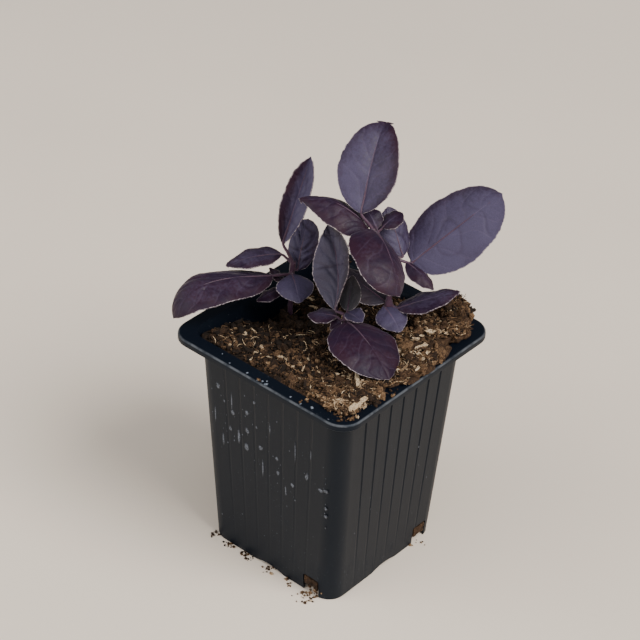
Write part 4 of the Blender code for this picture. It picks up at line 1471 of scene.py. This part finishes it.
def make_plant(name, settings, number, finishes):
    """A leafy stem: its blades, its stem with the stalks, and their hairs."""
    points, leaves = PLANTS[name]
    path = smooth_path([at_front(*point) for point in points], STEM_STEP)
    chance = random.Random(SEED + number)
    blades, stems = bmesh.new(), bmesh.new()
    stem = make_stem(path, leaves)
    stem.normal_update()
    hairy = hair_places(stem, settings.hairs // 3, chance, STEM_HAIR)
    move_into(stems, stem)
    for i, shape in enumerate(leaves):
        foot = point_at_height(path, shape["node"] * MM)
        long, heading, rise = shape["stalk"]
        frames = midrib(shape, foot + heading_vector(heading, rise) * (long * MM))
        petiole = make_petiole(shape, frames, foot)
        petiole.normal_update()
        hairy += hair_places(petiole, settings.hairs // 25, chance, STALK_HAIR)
        move_into(stems, petiole)
        blade = make_blade(shape, frames, settings, number * 20 + i)
        blade.normal_update()
        layer = blade.verts.layers.float_vector["blade"]
        many = round(settings.hairs * shape["length"] / 400)
        hairy += hair_places(blade, many, chance, MARGIN_HAIR, lambda vert: vert[layer].z < 0.01)
        move_into(blades, blade)
    bmesh.ops.recalc_face_normals(blades, faces=blades.faces[:])
    bmesh.ops.recalc_face_normals(stems, faces=stems.faces[:])
    hairs = copies([hair_shape()], hairy, chance)
    for kind, bm, finish, sharp in zip(
        ("leaves", "stems", "hairs"), (blades, stems, hairs), finishes, (60, 60, None)
    ):
        add_piece(f"{name}_{kind}", bm, finish, name, sharp)


def blade_finish(settings):
    """A purple leaf: mottled, with violet that is partly its own colour and partly painted sky sheen and
    painted light, pale midrib, fine veins, painted shade in its creases and a thin pale margin that is a
    painted highlight.
    """
    nodes = new_finish("basil_blade")
    phase, rib, edge = nodes.add("SeparateXYZ", {0: nodes.attribute("blade", "Vector")})
    tone, cast, under = nodes.add("SeparateXYZ", {0: nodes.attribute("look", "Vector")})
    mottle, fine = nodes.clouds(9 * MM, 4), nodes.clouds(1.1 * MM, 4)

    paint = nodes.blend(nodes.between(mottle, 0.35, 0.65), settings.purple, settings.wine)
    # The violet is partly the leaf's own colour and partly painted sky sheen, with painted light and shade
    # across each blade
    bloom_and_painted_light = nodes.plus(
        tone, nodes.between(fine, 0.3, 0.7, -0.12, 0.12),
        nodes.between(mottle, 0.3, 0.7, -0.12, 0.12), nodes.between(edge, 0, 5, -0.3, 0.05),
    )
    paint = nodes.blend(nodes.between(bloom_and_painted_light, 0, 1), paint, settings.violet)
    paint = nodes.blend(cast, paint, settings.green)

    from_vein = nodes.maths("ABSOLUTE", nodes.maths("SUBTRACT", nodes.maths("FRACT", phase), 0.5))
    vein = nodes.times(nodes.between(from_vein, 0.42, 0.5), nodes.between(edge, 0.3, 2.5), 0.1)
    paint = nodes.blend(vein, paint, settings.vein)
    line = nodes.times(nodes.between(rib, 0.5, 0.12), nodes.between(tone, 0.1, 0.8, 0.1, 0.7))
    paint = nodes.blend(line, paint, settings.vein)

    # Painted highlight: a thin pale line along the margin, where light catches the edge and its hairs
    beads = nodes.between(nodes.clouds(0.8 * MM, 2), 0.4, 0.62, 0.15, 1)
    margin = nodes.times(nodes.between(edge, 0.38, 0.12), beads, 0.8)
    paint = nodes.blend(margin, paint, settings.margin)
    below = nodes.blend(vein, settings.under, settings.vein)
    paint = nodes.blend(nodes.times(under, 0.75), paint, below)
    # Painted shade: the creases are painted darker
    crease_shade = nodes.times(nodes.attribute("dark"), 0.6)
    paint = nodes.blend(crease_shade, paint, settings.purple)
    paint = nodes.shaded(paint, nodes.between(nodes.clouds(0.3 * MM, 2), 0.3, 0.7, 0.82, 1.12))

    rough = nodes.between(fine, 0.3, 0.7, 0.46, 0.62)
    bump = nodes.plus(nodes.clouds(0.6 * MM), nodes.times(vein, -1.5))
    gloss = {"Sheen Weight": 0.05, "Sheen Roughness": 0.45, "Sheen Tint": (0.75, 0.7, 0.9, 1)}
    gloss["Specular IOR Level"] = 0.27
    return nodes.finish(paint, rough, bump, 0.07 * MM, gloss)


def stem_finish(settings):
    """Wine red with darker streaks along it and a little green."""
    nodes = new_finish("basil_stem")
    streaks = nodes.clouds(0.9 * MM, 3, (1, 1, 0.15))
    paint = nodes.blend(nodes.between(streaks, 0.35, 0.7), settings.stem, settings.under)
    paint = nodes.blend(nodes.between(nodes.clouds(5 * MM), 0.55, 0.8, 0, 0.5), paint, settings.green)
    return nodes.finish(paint, 0.5, streaks, 0.08 * MM, {"Sheen Weight": 0.2})


def hair_finish(settings):
    nodes = new_finish("basil_hair")
    return nodes.finish(nodes.blend(nodes.clouds(3 * MM), settings.stem, settings.hair), 0.6)


# Floor, lights and camera


def area_light(name, place, power):
    """A soft light that faces the pot. place is as seen from its front corner, in mm."""
    data = bpy.data.lights.new(name, "AREA")
    data.energy, data.shape, data.size = power, "DISK", LIGHT_SIZE
    made = bpy.data.objects.new(name, data)
    made.location = at_front(*place)
    aim = LIGHT_AIM - made.location
    made.rotation_euler = aim.to_track_quat("-Z", "Y").to_euler()
    bpy.context.scene.collection.objects.link(made)


def floor_finish(settings):
    nodes = new_finish("pale_floor")
    tint = nodes.between(nodes.clouds(0.25), 0.3, 0.7, 0.97, 1.02)
    return nodes.finish(nodes.shaded(settings.floor, tint), 0.75)


def make_sky(settings):
    """Light from all round, weakest from behind the pot."""
    sky = Recipe(bpy.data.worlds.new("soft_studio"))
    facing = {0: sky.coordinates["Generated"], 1: heading_vector(90, 35)}
    behind = sky.add("VectorMath", facing, operation="DOT_PRODUCT")["Value"]
    strength = sky.between(behind, 0.2, 0.9, settings.sky, settings.sky * 0.2)
    sky.join(sky.tree.nodes["Background"], {"Color": SKY_COLOUR, "Strength": strength})
    bpy.context.scene.world = sky.owner


def make_camera():
    """The camera, looking from behind its target along the angles of the photograph."""
    around = Matrix.Rotation(CAMERA_AZIMUTH, 3, "Z")
    back = around @ Vector((0, -cos(CAMERA_ELEVATION), sin(CAMERA_ELEVATION)))
    right = Matrix.Rotation(CAMERA_ROLL, 3, back) @ around @ Vector((1, 0, 0))
    data = bpy.data.cameras.new("camera")
    data.lens, data.sensor_width = CAMERA_LENS, CAMERA_SENSOR
    data.clip_start, data.clip_end = 0.05, 20
    camera = bpy.data.objects.new("camera", data)
    turned = Matrix((right, back.cross(right), back)).transposed().to_4x4()
    camera.matrix_world = Matrix.Translation(CAMERA_TARGET + back * CAMERA_DISTANCE) @ turned
    bpy.context.scene.collection.objects.link(camera)
    bpy.context.scene.camera = camera


def make_stage(settings):
    """The floor, the soft light and the camera."""
    bm = bmesh.new()
    bmesh.ops.create_grid(bm, x_segments=1, y_segments=1, size=FLOOR_REACH)
    add_object("floor", bm, floor_finish(settings))
    make_sky(settings)
    area_light("key_light", KEY_PLACE, settings.key)
    area_light("fill_light", FILL_PLACE, settings.fill)
    make_camera()


# Add-on


class BASIL_OT_pot(Operator):
    """Makes the moulded pot with its grooves, rim and drainage slots"""

    bl_idname = "basil.pot"
    bl_label = "Pot"

    def execute(self, context):
        make_pot(context.scene.basil_pot)
        return {"FINISHED"}


class BASIL_OT_lime(Operator):
    """Makes the dried spots of lime on the pot's walls"""

    bl_idname = "basil.lime"
    bl_label = "Lime spots"

    def execute(self, context):
        make_lime(context.scene.basil_pot)
        return {"FINISHED"}


class BASIL_OT_compost(Operator):
    """Makes the bed of compost with its heaps"""

    bl_idname = "basil.compost"
    bl_label = "Compost bed"

    def execute(self, context):
        make_compost(context.scene.basil_compost)
        return {"FINISHED"}


class BASIL_OT_bits(Operator):
    """Makes the crumbs, lumps, fibres and chips that lie on the compost"""

    bl_idname = "basil.bits"
    bl_label = "Compost bits"

    def execute(self, context):
        settings = context.scene.basil_compost
        finish = bpy.data.materials["compost_bits"]
        make_crumbs(settings, finish)
        make_lumps(finish)
        make_fibres(settings, finish)
        make_chips(settings, finish)
        return {"FINISHED"}


class BASIL_OT_plants(Operator):
    """Makes the three leafy stems with their veins and hairs"""

    bl_idname = "basil.plants"
    bl_label = "Plants"

    def execute(self, context):
        settings = context.scene.basil_leaf
        finishes = blade_finish(settings), stem_finish(settings), hair_finish(settings)
        for number, name in enumerate(PLANTS):
            make_plant(name, settings, number, finishes)
        return {"FINISHED"}


class BASIL_OT_stage(Operator):
    """Makes the floor, the lights and the camera"""

    bl_idname = "basil.stage"
    bl_label = "Stage"

    def execute(self, context):
        make_stage(context.scene.basil_stage)
        return {"FINISHED"}


OPERATORS = (
    BASIL_OT_pot, BASIL_OT_lime, BASIL_OT_compost, BASIL_OT_bits, BASIL_OT_plants, BASIL_OT_stage,
)


class BASIL_PT_panel(Panel):
    """Lists the pieces and their sizes and colours"""

    bl_label = "Potted basil"
    bl_space_type = "VIEW_3D"
    bl_region_type = "UI"
    bl_category = "Basil"

    def draw(self, context):
        for operator in OPERATORS:
            self.layout.operator(operator.bl_idname)
        for key in SETTINGS:
            group = getattr(context.scene, key)
            box = self.layout.box()
            for name in group.__annotations__:
                box.prop(group, name)


SETTINGS = {
    "basil_pot": PotSettings,
    "basil_compost": CompostSettings,
    "basil_leaf": LeafSettings,
    "basil_stage": StageSettings,
}


def register():
    for group in (*SETTINGS.values(), *OPERATORS, BASIL_PT_panel):
        bpy.utils.register_class(group)
    for key, group in SETTINGS.items():
        setattr(bpy.types.Scene, key, PointerProperty(type=group))


def unregister():
    for key in SETTINGS:
        delattr(bpy.types.Scene, key)
    for group in reversed((*SETTINGS.values(), *OPERATORS, BASIL_PT_panel)):
        bpy.utils.unregister_class(group)


def main():
    register()
    bpy.ops.basil.pot()
    bpy.ops.basil.lime()
    bpy.ops.basil.compost()
    bpy.ops.basil.bits()
    bpy.ops.basil.plants()
    bpy.ops.basil.stage()


if __name__ == "__main__":
    main()
